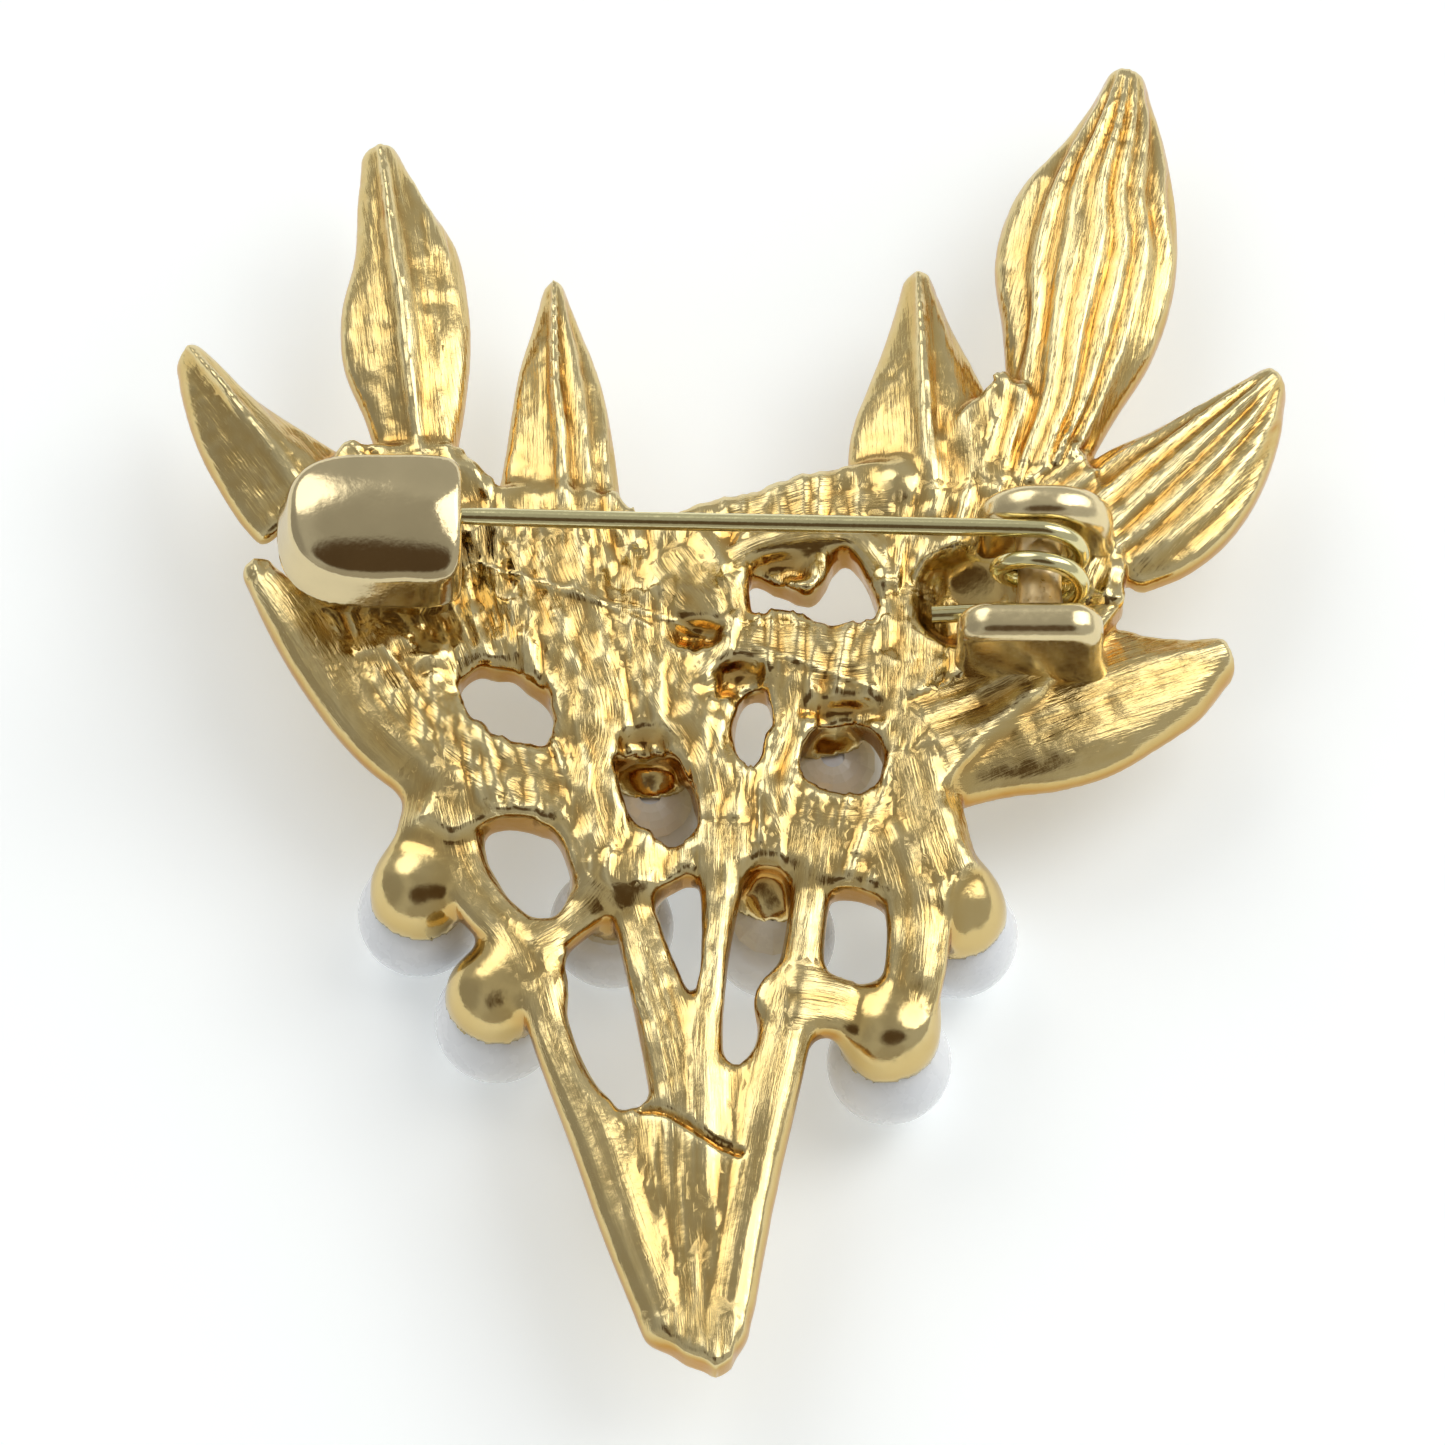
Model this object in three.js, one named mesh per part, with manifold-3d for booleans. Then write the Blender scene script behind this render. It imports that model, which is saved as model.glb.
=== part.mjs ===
// Leaf-spray brooch, lying face down on its pearls with the pin side up. Millimetres, +Z up.
import * as THREE from "three";
import { mergeVertices } from "three/addons/utils/BufferGeometryUtils.js";
import Module from "manifold-3d";

const wasm = await Module();
wasm.setup();

const gap = 0.1; // clearance left between neighbouring solids
const centreShift = [-0.236, 0.0855]; // puts the origin under the middle of the bounding box
const backTop = 7.7; // top of the openwork back
const backThick = 1.5;
const pearlR = 2.9;
const pearlSegments = 14;
const holeR = 0.5; // blind hole in each pearl
const holeDepth = 2.2;
const postR = 0.35; // post in each cup
const cementIn = 2.98;
const cementOut = 3.1;
const cupIn = 3.2; // spherical seat of each cup
const cupReach = 2.4; // cup's radius in plan
const cupTop = 6.75;
const axisX = 14.5; // hinge axis runs along Y here
const axisZ = 10.7;
const coilR = 1.93; // middle of the wire
const coilPitch = 1.6;
const coilTurns = 1.5;
const coilStartY = 6.6;
const wireR = 0.425;
const pegR = 1.15;
const earTopR = 2.55;
const hoodMid = [-16.1, 7.4];
const hoodTop = 13.6;

const pearls = {
  a: [-14.3, -8.7],
  b: [-10.7, -14.1],
  c: [-5.4, -9.3],
  d: [2.1, -9.8],
  e: [10.6, -9.8],
  f: [7.5, -16.2],
  g: [4.9, -2.0],
  h: [-3.6, -3.9],
  i: [-8.0, 7.4],
  j: [12.0, 7.0],
};

const leaves = {
  leaf_far_left: {
    base: [-19.0, 9.6, 7.4],
    tip: [-25.2, 18.7, 6.6],
    bow: 0.3,
    left: [2.9, 2.8, 2.3, 1.3, 0.35],
    right: [2.9, 2.6, 1.9, 1.1, 0.35],
    ridge: 0.5,
    furrows: 3,
  },
  leaf_top_left: {
    base: [-14.4, 12.3, 7.5],
    tip: [-16.4, 29.2, 6.4],
    bow: -0.5,
    left: [2.1, 2.9, 3.0, 1.9, 0.5],
    right: [1.8, 2.7, 2.9, 1.9, 0.5],
    ridge: 0.5,
    furrows: 4,
  },
  leaf_small_left: {
    base: [-7.8, 9.6, 7.6],
    tip: [-8.2, 22.1, 6.5],
    bow: 0.1,
    left: [2.9, 2.6, 2.2, 1.5, 0.4],
    right: [2.9, 2.6, 2.1, 1.5, 0.4],
    ridge: 0.3,
    furrows: 4,
  },
  leaf_rim_left: {
    base: [-13.0, -4.4, 7.4],
    tip: [-21.9, 6.6, 7.0],
    bow: 1.1,
    left: [0.6, 1.0, 1.2, 1.2, 0.7],
    right: [0.6, 1.0, 1.2, 1.2, 0.7],
    ridge: 0.4,
    furrows: 1,
  },
  leaf_small_right: {
    base: [9.3, 11.1, 7.5],
    tip: [8.9, 22.6, 6.4],
    bow: -0.1,
    left: [3.3, 3.1, 2.4, 1.5, 0.5],
    right: [3.3, 3.1, 2.6, 1.6, 0.5],
    ridge: 0.4,
    furrows: 3,
  },
  leaf_top_right: {
    base: [14.5, 11.9, 7.4],
    tip: [18.8, 33.2, 6.2],
    bow: 0.1,
    left: [2.6, 2.9, 4.2, 3.5, 0.6],
    right: [2.6, 3.3, 4.1, 3.1, 0.6],
    ridge: 0.7,
    furrows: 5,
  },
  leaf_side_right: {
    base: [16.9, 8.3, 7.4],
    tip: [25.6, 17.4, 6.4],
    bow: -0.3,
    left: [2.6, 2.4, 1.8, 1.3, 0.5],
    right: [3.6, 4.2, 4.0, 2.9, 0.5],
    ridge: 0.5,
    furrows: 4,
  },
  leaf_low_right: {
    base: [9.4, -2.8, 7.4],
    tip: [23.3, 3.4, 6.6],
    bow: 0.2,
    left: [2.2, 2.6, 2.9, 2.4, 0.6],
    right: [2.4, 3.3, 3.8, 3.2, 0.6],
    ridge: 0.4,
    furrows: 4,
  },
};

const strands = {
  stem_left_outer: {
    path: [[-10.0, -15.6, 7.0], [-7.1, -20.0, 7.2], [-4.7, -25.2, 7.3], [-2.9, -30.0, 7.1]],
    wide: [1.5, 2.0, 1.9, 1.3],
    high: [1.7, 1.9, 1.9, 1.5],
  },
  stem_left_inner: {
    path: [[-4.5, -10.8, 7.0], [-3.5, -14.0, 7.1], [-2.5, -17.2, 7.2], [-1.6, -20.6, 7.3]],
    wide: [2.0, 1.6, 1.6, 1.2],
    high: [1.7, 1.8, 1.8, 1.6],
  },
  stem_middle: {
    path: [[-0.7, -6.6, 7.0], [-0.9, -11.0, 7.1], [-1.1, -15.0, 7.2], [-1.0, -19.8, 7.3]],
    wide: [1.5, 1.2, 1.1, 0.9],
    high: [1.7, 1.8, 1.8, 1.6],
  },
  stem_right: {
    path: [[4.4, -6.6, 7.0], [3.5, -11.0, 7.1], [2.9, -15.0, 7.2], [1.7, -21.0, 7.2]],
    wide: [2.6, 1.9, 2.0, 1.5],
    high: [1.7, 1.8, 1.9, 1.7],
  },
  link_left: {
    path: [[-13.6, -7.4, 6.9], [-12.2, -10.6, 7.0], [-10.6, -13.4, 6.9]],
    wide: [1.5, 1.5, 1.4],
    high: [1.4, 1.5, 1.4],
  },
  link_left_inner: {
    path: [[-10.4, -13.0, 6.9], [-8.0, -11.2, 7.0], [-5.6, -9.2, 6.9]],
    wide: [1.3, 1.3, 1.4],
    high: [1.3, 1.4, 1.4],
  },
  link_right: {
    path: [[10.4, -9.6, 6.9], [9.3, -13.2, 7.0], [7.8, -16.2, 6.9]],
    wide: [2.2, 2.3, 2.2],
    high: [1.4, 1.6, 1.4],
  },
  link_right_inner: {
    path: [[3.2, -14.4, 7.0], [5.2, -15.6, 7.0], [7.2, -16.4, 6.9]],
    wide: [1.5, 1.4, 1.4],
    high: [1.5, 1.5, 1.4],
  },
  stem_wedge: {
    path: [[-2.0, -19.6, 7.1], [-1.8, -23.0, 7.1], [-1.2, -28.0, 6.9], [-0.5, -33.4, 6.6]],
    wide: [9.0, 8.0, 5.0, 1.4],
    high: [1.7, 1.9, 1.9, 1.1],
  },
};

const backLeft = {
  outline: [
    [-20.2, 9.0], [-18.0, 12.9], [-12.6, 12.6], [-10.4, 10.8], [-5.2, 10.8], [-4.5, 8.0],
    [-1.5, 8.4], [0.55, 9.8], [0.55, -7.2], [-3.0, -8.4], [-7.0, -8.2], [-7.6, -6.0],
    [-11.4, -6.2], [-13.2, -8.2], [-15.0, -7.6], [-13.4, -4.4], [-15.8, -1.6], [-17.2, 1.3], [-19.0, 4.4],
  ],
  holes: [
    { at: [-10.2, -0.4], size: [2.4, 1.65], turn: -0.6 },
    { at: [-3.2, -5.9], size: [1.7, 1.25], turn: -0.2 },
  ],
};

const backRight = {
  outline: [
    [0.65, 9.9], [3.65, 11.0], [6.1, 12.0], [9.0, 12.6], [14.0, 13.0], [17.6, 13.0],
    [18.4, 9.0], [18.0, 3.6], [15.5, 0.5], [12.2, -2.4], [9.6, -5.0], [11.6, -8.6],
    [8.6, -8.8], [7.0, -5.6], [5.6, -7.4], [3.0, -7.6], [0.65, -7.2],
  ],
  holes: [
    { at: [4.1, 5.3], size: [2.8, 1.7], turn: 0.083 },
    { at: [2.02, -1.73], size: [0.75, 1.8], turn: 0.07 },
    { at: [5.11, -3.22], size: [1.75, 1.72], turn: 0.23 },
  ],
};

// ---- turning point loops into closed solids ----

function faceOut(position, faces) {
  const corner = (i) => new THREE.Vector3().fromBufferAttribute(position, faces[i]);
  let volume = 0;
  for (let i = 0; i < faces.length; i += 3) volume += corner(i).dot(corner(i + 1).cross(corner(i + 2)));
  if (volume < 0) {
    for (let i = 0; i < faces.length; i += 3) [faces[i], faces[i + 1]] = [faces[i + 1], faces[i]];
  }
  return faces;
}

function solidOf(geometry) {
  const plain = geometry.clone();
  plain.deleteAttribute("normal");
  plain.deleteAttribute("uv");
  const merged = mergeVertices(plain, 1e-4);
  const faces = faceOut(merged.attributes.position, [...merged.index.array]);
  return new wasm.Manifold(
    new wasm.Mesh({
      numProp: 3,
      vertProperties: new Float32Array(merged.attributes.position.array),
      triVerts: new Uint32Array(faces),
    }),
  );
}

function geometryOf(solid) {
  const mesh = solid.getMesh();
  const geometry = new THREE.BufferGeometry();
  geometry.setAttribute("position", new THREE.BufferAttribute(Float32Array.from(mesh.vertProperties), 3));
  geometry.setIndex(new THREE.BufferAttribute(Uint32Array.from(mesh.triVerts), 1));
  return geometry;
}

function skin(rings) {
  const count = rings[0].length;
  const points = rings.flat();
  const faces = [];
  for (let r = 0; r + 1 < rings.length; r++) {
    for (let i = 0; i < count; i++) {
      const a = r * count + i;
      const b = r * count + ((i + 1) % count);
      faces.push(a, b, b + count, a, b + count, a + count);
    }
  }
  const last = (rings.length - 1) * count;
  for (const [start, flip] of [[0, true], [last, false]]) {
    const middle = new THREE.Vector3();
    for (let i = 0; i < count; i++) middle.add(points[start + i]);
    points.push(middle.divideScalar(count));
    for (let i = 0; i < count; i++) {
      const a = start + i;
      const b = start + ((i + 1) % count);
      const c = points.length - 1;
      if (flip) faces.push(b, a, c);
      else faces.push(a, b, c);
    }
  }
  const geometry = new THREE.BufferGeometry();
  geometry.setAttribute("position", new THREE.Float32BufferAttribute(points.flatMap((p) => p.toArray()), 3));
  geometry.setIndex(faces);
  return solidOf(geometry);
}

function blendOf(values, t) {
  const curve = new THREE.SplineCurve(values.map((v, i) => new THREE.Vector2(i, v)));
  return curve.getPoint(t).y;
}

function box(low, high) {
  const size = high.map((v, i) => v - low[i]);
  const geometry = new THREE.BoxGeometry(...size);
  geometry.translate(...low.map((v, i) => v + size[i] / 2));
  return solidOf(geometry);
}

function turned(profile, segments) {
  const geometry = new THREE.LatheGeometry(profile.map(([r, z]) => new THREE.Vector2(r, z)), segments);
  geometry.rotateX(Math.PI / 2);
  return geometry;
}

// ---- leaves and stems ----

function leafSolid(spec, grow) {
  const base = new THREE.Vector3(...spec.base);
  const tip = new THREE.Vector3(...spec.tip);
  const along = tip.clone().sub(base).setZ(0).normalize();
  const side = new THREE.Vector3(-along.y, along.x, 0);
  base.addScaledVector(along, -grow);
  tip.addScaledVector(along, grow);
  const thick = 1.3;
  const across = 2 * spec.furrows + 1;
  const rings = [];
  for (let s = 0; s <= 8; s++) {
    const t = s / 8;
    const arch = 4 * t * (1 - t);
    const middle = base.clone().lerp(tip, t).addScaledVector(side, spec.bow * arch);
    middle.z += 0.25 * arch;
    const left = blendOf(spec.left, t) + grow;
    const right = blendOf(spec.right, t) + grow;
    const ridge = spec.ridge * Math.sin(Math.PI * (0.15 + 0.8 * t));
    const ring = [];
    for (let i = 0; i < across; i++) {
      const u = 1 - (2 * i) / (across - 1);
      const furrow = (i % 2 ? 0.22 : 0) * Math.sin(Math.PI * Math.min(1, t + 0.15));
      const point = middle.clone().addScaledVector(side, u > 0 ? u * left : u * right);
      point.z += ridge * (1 - Math.abs(u)) - furrow + grow - 0.35 * Math.abs(u) ** 3;
      ring.push(point);
    }
    for (const u of [-0.8, 0, 0.8]) {
      const point = middle.clone().addScaledVector(side, u > 0 ? u * left : u * right);
      point.z -= thick + grow + 0.3 * (1 - Math.abs(u));
      ring.push(point);
    }
    rings.push(ring);
  }
  return skin(rings);
}

function strandSolid(spec, grow) {
  const curve = new THREE.CatmullRomCurve3(spec.path.map((p) => new THREE.Vector3(...p)), false, "centripetal");
  const rings = [];
  const steps = spec.path.length * 2;
  for (let s = 0; s <= steps; s++) {
    const t = s / steps;
    const middle = curve.getPoint(t);
    const along = curve.getTangent(t).setZ(0).normalize();
    const side = new THREE.Vector3(-along.y, along.x, 0);
    if (s === 0) middle.addScaledVector(along, -grow);
    if (s === steps) middle.addScaledVector(along, grow);
    const wide = blendOf(spec.wide, t) / 2 + grow;
    const high = blendOf(spec.high, t) / 2 + grow;
    const ring = [];
    for (let i = 0; i < 8; i++) {
      const angle = (2 * Math.PI * (i + 0.5)) / 8;
      const point = middle.clone().addScaledVector(side, 1.08 * wide * Math.cos(angle));
      point.z += 1.08 * high * Math.sin(angle) - 0.35;
      ring.push(point);
    }
    rings.push(ring);
  }
  return skin(rings);
}

// ---- openwork back ----

function backSolid(spec) {
  const curve = new THREE.Shape(spec.outline.map((p) => new THREE.Vector2(...p)));
  for (const hole of spec.holes) {
    const rim = [];
    for (let i = 0; i < 18; i++) {
      const angle = (2 * Math.PI * i) / 18;
      const point = new THREE.Vector2(hole.size[0] * Math.cos(angle), hole.size[1] * Math.sin(angle));
      point.rotateAround(new THREE.Vector2(), hole.turn).add(new THREE.Vector2(...hole.at));
      rim.push(point);
    }
    curve.holes.push(new THREE.Path(rim));
  }
  const geometry = new THREE.ExtrudeGeometry(curve, {
    depth: backThick - 0.5,
    bevelEnabled: true,
    bevelThickness: 0.25,
    bevelSize: 0.25,
    bevelOffset: -0.25,
    bevelSegments: 1,
    curveSegments: 7,
  });
  geometry.translate(0, 0, backTop - backThick + 0.25);
  return solidOf(geometry);
}

function hingePocket() {
  return box([8.8, 3.0, 7.1], [17.4, 7.1, 9]);
}

function backDent() {
  const geometry = new THREE.SphereGeometry(1, 12, 8);
  geometry.scale(1.15, 0.7, 0.8);
  geometry.translate(-1.4, 2.9, backTop + 0.05);
  return solidOf(geometry);
}

// ---- pearls and their cups ----

function arcPoints(radius, from, to, steps) {
  const points = [];
  for (let i = 0; i <= steps; i++) {
    const angle = from + ((to - from) * i) / steps;
    points.push([radius * Math.cos(angle), pearlR + radius * Math.sin(angle)]);
  }
  return points;
}

function pearlSolid([x, y], grow) {
  const profile = arcPoints(pearlR + grow, -Math.PI / 2, Math.acos(holeR / pearlR), 10);
  profile[0][0] = 0;
  if (grow > 0) {
    profile.push([0, 2 * pearlR + grow]);
  } else {
    const floor = 2 * pearlR - holeDepth;
    profile.push([holeR, floor], [0, floor]);
  }
  const geometry = turned(profile, pearlSegments);
  geometry.translate(x, y, 0);
  return solidOf(geometry);
}

function cementSolid([x, y]) {
  const low = Math.acos(2.0 / cementOut);
  const high = Math.acos(0.55 / cementOut);
  const profile = [...arcPoints(cementOut, low, high, 4), ...arcPoints(cementIn, high, low, 4)];
  profile.push(profile[0]);
  const geometry = turned(profile.reverse(), pearlSegments);
  geometry.translate(x, y, 0);
  return solidOf(geometry);
}

function cupSolid([x, y], grow) {
  const rim = Math.acos(cupReach / (cupIn + 0.2));
  const rimZ = pearlR + (cupIn + 0.2) * Math.sin(rim);
  const crown = [
    [cupReach + 0.1, rimZ + 0.35],
    [1.75, cupTop - 0.45],
    [0.9, cupTop - 0.1],
    [0, cupTop],
  ];
  const profile = [];
  if (grow > 0) {
    profile.push([0, rimZ - grow], [cupReach + 0.15 + grow, rimZ - grow]);
    for (const [r, z] of crown) profile.push([r > 0 ? r + grow : 0, z + grow]);
  } else {
    const top = Math.acos(postR / cupIn);
    const seat = arcPoints(cupIn, top, Math.acos((cupReach - 0.15) / cupIn), 4);
    profile.push([0, 2 * pearlR - holeDepth + 0.3], [postR, 2 * pearlR - holeDepth + 0.3]);
    profile.push(...seat, ...crown);
  }
  const geometry = turned(profile, pearlSegments);
  geometry.translate(x, y, 0);
  return solidOf(geometry);
}

// ---- catch, hinge and pin ----

function hoodRing(inset, z, squeeze) {
  const ring = [];
  const count = 28;
  for (let i = 0; i < count; i++) {
    const angle = (2 * Math.PI * i) / count;
    const c = Math.cos(angle);
    const s = Math.sin(angle);
    const square = c > 0 ? 0.42 : 0.85;
    const reach = (c > 0 ? 3.75 : 4.6 - squeeze) - inset;
    const x = hoodMid[0] + reach * Math.sign(c) * Math.abs(c) ** square;
    const y = hoodMid[1] + (3.4 - inset) * Math.sign(s) * Math.abs(s) ** square;
    ring.push(new THREE.Vector3(x, y, z));
  }
  return ring;
}

function hoodSolid(grow) {
  const outer = skin([
    hoodRing(-grow, 7.0 - grow, 1.2),
    hoodRing(-grow, 9.0, 0.9),
    hoodRing(-grow, 10.6, 0.3),
    hoodRing(-grow, 12.0, 0),
    hoodRing(0.25 - grow, 12.75, 0),
    hoodRing(0.8 - grow, 13.25, 0),
    hoodRing(1.4 - grow, 13.5 + grow, 0),
    hoodRing(2.0 - grow, hoodTop + grow, 0),
  ]);
  if (grow > 0) return outer;
  const room = skin([hoodRing(0.8, 7.9, 0.9), hoodRing(0.8, 10.6, 0.3), hoodRing(0.9, 12.0, 0), hoodRing(1.2, 12.85, 0)]);
  const mouth = box([-16.4, 4.7, 7.9], [-12.0, 11, 12.85]);
  const side = box([-18.9, 7.0, 7.9], [-12.0, 11, 12.85]);
  return outer.subtract(room).subtract(mouth).subtract(side);
}

function earSolid(middleX, lowY, thick, holeSide, grow) {
  const r = earTopR + grow;
  const outline = new THREE.Shape();
  outline.moveTo(-3.2 - grow, -3.9);
  outline.lineTo(3.2 + grow, -3.9);
  outline.lineTo(r, -0.3);
  outline.absarc(0, 0, r, 0, Math.PI, false);
  outline.lineTo(-r, -0.3);
  outline.closePath();
  const bevel = grow > 0 ? 0 : 0.25;
  const geometry = new THREE.ExtrudeGeometry(outline, {
    depth: thick + 2 * grow - 2 * bevel,
    bevelEnabled: bevel > 0,
    bevelThickness: bevel,
    bevelSize: bevel,
    bevelOffset: -bevel,
    bevelSegments: 1,
    curveSegments: 10,
  });
  geometry.rotateX(Math.PI / 2);
  geometry.translate(middleX, lowY + thick + grow - bevel, axisZ);
  const ear = solidOf(geometry);
  if (grow > 0) return ear;
  const bore = new THREE.CylinderGeometry(pegR + gap, pegR + gap, 1.2, 20);
  bore.translate(axisX, holeSide === "far" ? lowY + thick - 0.5 : lowY + 0.5, axisZ);
  return ear.subtract(solidOf(bore));
}

function pegSolid() {
  const low = 2.0;
  const high = 8.15;
  const geometry = turned(
    [[0, 0], [pegR - 0.15, 0], [pegR, 0.15], [pegR, high - low - 0.15], [pegR - 0.15, high - low], [0, high - low]],
    20,
  );
  geometry.rotateX(-Math.PI / 2);
  geometry.translate(axisX, low, axisZ);
  return solidOf(geometry);
}

function wirePath() {
  const points = [];
  const pointEnd = new THREE.Vector3(-17.6, 7.55, 12.28);
  const coilTop = new THREE.Vector3(axisX, coilStartY, axisZ + coilR);
  for (let i = 0; i <= 12; i++) {
    const t = i / 12;
    const point = pointEnd.clone().lerp(coilTop, 0.98 * t);
    point.z -= 0.22 * (1 - t) * Math.sin(Math.PI * t) ** 2;
    points.push(point);
  }
  const steps = 44;
  for (let i = 1; i <= steps; i++) {
    const turn = (coilTurns * i) / steps;
    const angle = Math.PI / 2 - 2 * Math.PI * turn;
    const y = coilStartY - coilPitch * turn;
    points.push(new THREE.Vector3(axisX + coilR * Math.cos(angle), y, axisZ + coilR * Math.sin(angle)));
  }
  const end = points[points.length - 1];
  for (const reach of [1.6, 3.3, 5.0]) points.push(new THREE.Vector3(end.x - reach, end.y - 0.05 * reach, end.z));
  return points;
}

function wireSolid(grow) {
  const points = wirePath();
  const rings = points.map((middle, i) => {
    const before = points[Math.max(0, i - 1)];
    const after = points[Math.min(points.length - 1, i + 1)];
    const along = after.clone().sub(before).normalize();
    const side = new THREE.Vector3(0, 1, 0).addScaledVector(along, -along.y).normalize();
    const up = along.clone().cross(side);
    const taper = Math.min(1, 0.12 + 0.88 * Math.sqrt(Math.min(1, i / 3)));
    const radius = wireR * taper + grow;
    return [...Array(8).keys()].map((k) => {
      const angle = (2 * Math.PI * k) / 8;
      const offset = side.clone().multiplyScalar(radius * Math.cos(angle));
      return middle.clone().add(offset).addScaledVector(up, radius * Math.sin(angle));
    });
  });
  return skin(rings);
}

// ---- putting it together ----

const pieces = []; // { name, colour, whole, grown }: earlier pieces are cut out of later ones

function add(name, look, make, grown) {
  pieces.push({ name, look, whole: make(0), grown: grown === undefined ? make(gap) : grown });
}

const gold = { color: 0xd6ac63, roughness: 0.3, metalness: 1 };
const steel = { color: 0xc9b06a, roughness: 0.22, metalness: 1 };
const nacre = { color: 0xf4efe6, roughness: 0.2, metalness: 0 };
const glue = { color: 0xd9d2bd, roughness: 0.4, metalness: 0 };

for (const [key, at] of Object.entries(pearls)) {
  add(`pearl_${key}`, nacre, (grow) => pearlSolid(at, grow));
}
for (const [key, at] of Object.entries(pearls)) {
  add(`cement_${key}`, glue, () => cementSolid(at), null);
}
for (const [key, at] of Object.entries(pearls)) {
  add(`cup_${key}`, gold, (grow) => cupSolid(at, grow));
}
add("pin_wire", steel, (grow) => wireSolid(grow));
add("pivot_peg", gold, () => pegSolid(), null);
add("catch_hood", gold, (grow) => hoodSolid(grow));
add("hinge_ear_upper", gold, (grow) => earSolid(axisX, 7.25, 1.7, "near", grow));
add("hinge_ear_lower", gold, (grow) => earSolid(axisX - 0.1, 1.15, 1.7, "far", grow));
for (const [name, spec] of Object.entries(leaves)) {
  add(name, gold, (grow) => leafSolid(spec, grow));
}
for (const [name, spec] of Object.entries(strands)) {
  add(name, gold, (grow) => strandSolid(spec, grow));
}
add("back_left", gold, () => backSolid(backLeft).subtract(backDent()), null);
add("back_right", gold, () => backSolid(backRight).subtract(hingePocket()), null);

const uncut = /^(pearl|cement|cup|pin_wire|pivot_peg)/;
const group = new THREE.Group();
group.name = "brooch";
for (const [index, piece] of pieces.entries()) {
  let solid = piece.whole;
  if (!uncut.test(piece.name)) {
    for (const other of pieces.slice(0, index)) {
      if (other.grown) solid = solid.subtract(other.grown);
    }
    const bodies = solid.decompose();
    bodies.sort((a, b) => b.volume() - a.volume());
    solid = bodies[0];
  }
  const geometry = geometryOf(solid);
  geometry.translate(centreShift[0], centreShift[1], 0);
  const mesh = new THREE.Mesh(geometry, new THREE.MeshStandardMaterial(piece.look));
  mesh.name = piece.name;
  group.add(mesh);
}

export default group;
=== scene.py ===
import math

import bpy
import numpy as np
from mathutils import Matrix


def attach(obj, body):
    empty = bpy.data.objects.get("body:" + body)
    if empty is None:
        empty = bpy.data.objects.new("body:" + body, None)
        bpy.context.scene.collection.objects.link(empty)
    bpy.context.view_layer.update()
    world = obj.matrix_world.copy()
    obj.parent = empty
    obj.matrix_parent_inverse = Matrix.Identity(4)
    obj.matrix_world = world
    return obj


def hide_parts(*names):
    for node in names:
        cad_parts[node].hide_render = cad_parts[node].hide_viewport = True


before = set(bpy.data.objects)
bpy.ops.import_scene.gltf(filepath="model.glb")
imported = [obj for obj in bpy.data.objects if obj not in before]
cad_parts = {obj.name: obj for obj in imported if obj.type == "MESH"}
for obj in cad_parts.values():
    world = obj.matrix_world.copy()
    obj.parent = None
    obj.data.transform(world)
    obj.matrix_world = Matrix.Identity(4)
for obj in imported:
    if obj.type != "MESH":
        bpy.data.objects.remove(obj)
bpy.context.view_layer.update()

mm = 0.001
shift = np.array([-0.236, 0.0855, 0.0])  # the frame's origin, from the drawing's own zero, in mm
scene = bpy.context.scene


# a small set of solid-field tools: every field is negative inside, in mm


def curveAt(values, t):
    # smooth curve through evenly spaced values
    v = np.asarray(values, float)
    last = len(v) - 1
    s = np.clip(t, 0, 1) * last
    i = np.clip(np.floor(s).astype(int), 0, last - 1)
    f = s - i
    if v.ndim > 1:
        f = f[..., None]
    a, b = v[np.maximum(i - 1, 0)], v[i]
    c, d = v[i + 1], v[np.minimum(i + 2, last)]
    return 0.5 * (2 * b + (c - a) * f + (2 * a - 5 * b + 4 * c - d) * f**2 + (3 * b - a - 3 * c + d) * f**3)


def smoothMin(a, b, k):
    h = np.clip(0.5 + 0.5 * (b - a) / k, 0, 1)
    return b + (a - b) * h - k * h * (1 - h)


def smoothMax(a, b, k):
    return -smoothMin(-a, -b, k)


def roundMax(a, b, r):
    # intersection with a rounded edge
    outside = np.hypot(np.maximum(a + r, 0), np.maximum(b + r, 0))
    return np.minimum(np.maximum(a + r, b + r), 0) + outside - r


def hashed(i, j, k, seed):
    n = (i * 73856093) ^ (j * 19349663) ^ (k * 83492791) ^ (seed * 2654435)
    n = (n ^ (n >> 13)) * 1274126177
    n = n ^ (n >> 16)
    return (n & 0xFFFF) / 32767.5 - 1


def noise(x, y, z=0.0, seed=0):
    # smooth value noise from -1 to 1
    x, y, z = np.broadcast_arrays(np.asarray(x, float), y, z)
    i, j, k = (np.floor(v).astype(np.int64) for v in (x, y, z))
    u, v, w = (s * s * (3 - 2 * s) for s in (x - i, y - j, z - k))
    total = 0
    for di in (0, 1):
        for dj in (0, 1):
            for dk in (0, 1):
                weight = (u if di else 1 - u) * (v if dj else 1 - v) * (w if dk else 1 - w)
                total = total + weight * hashed(i + di, j + dj, k + dk, seed)
    return total


def leafPlace(leaf, x, y):
    # distance along and across a leaf, its place along it, and its half width there
    base, tip = np.array(leaf["base"]), np.array(leaf["tip"])
    d = (tip - base)[:2]
    length = np.hypot(*d)
    d = d / length
    along = (x - base[0]) * d[0] + (y - base[1]) * d[1]
    t = np.clip(along / length, 0, 1)
    side = -(x - base[0]) * d[1] + (y - base[1]) * d[0] - leaf["bow"] * 4 * t * (1 - t)
    wide = np.where(side > 0, curveAt(leaf["left"], t), curveAt(leaf["right"], t))
    return along, side, t, np.maximum(wide, 0.2), length


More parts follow.
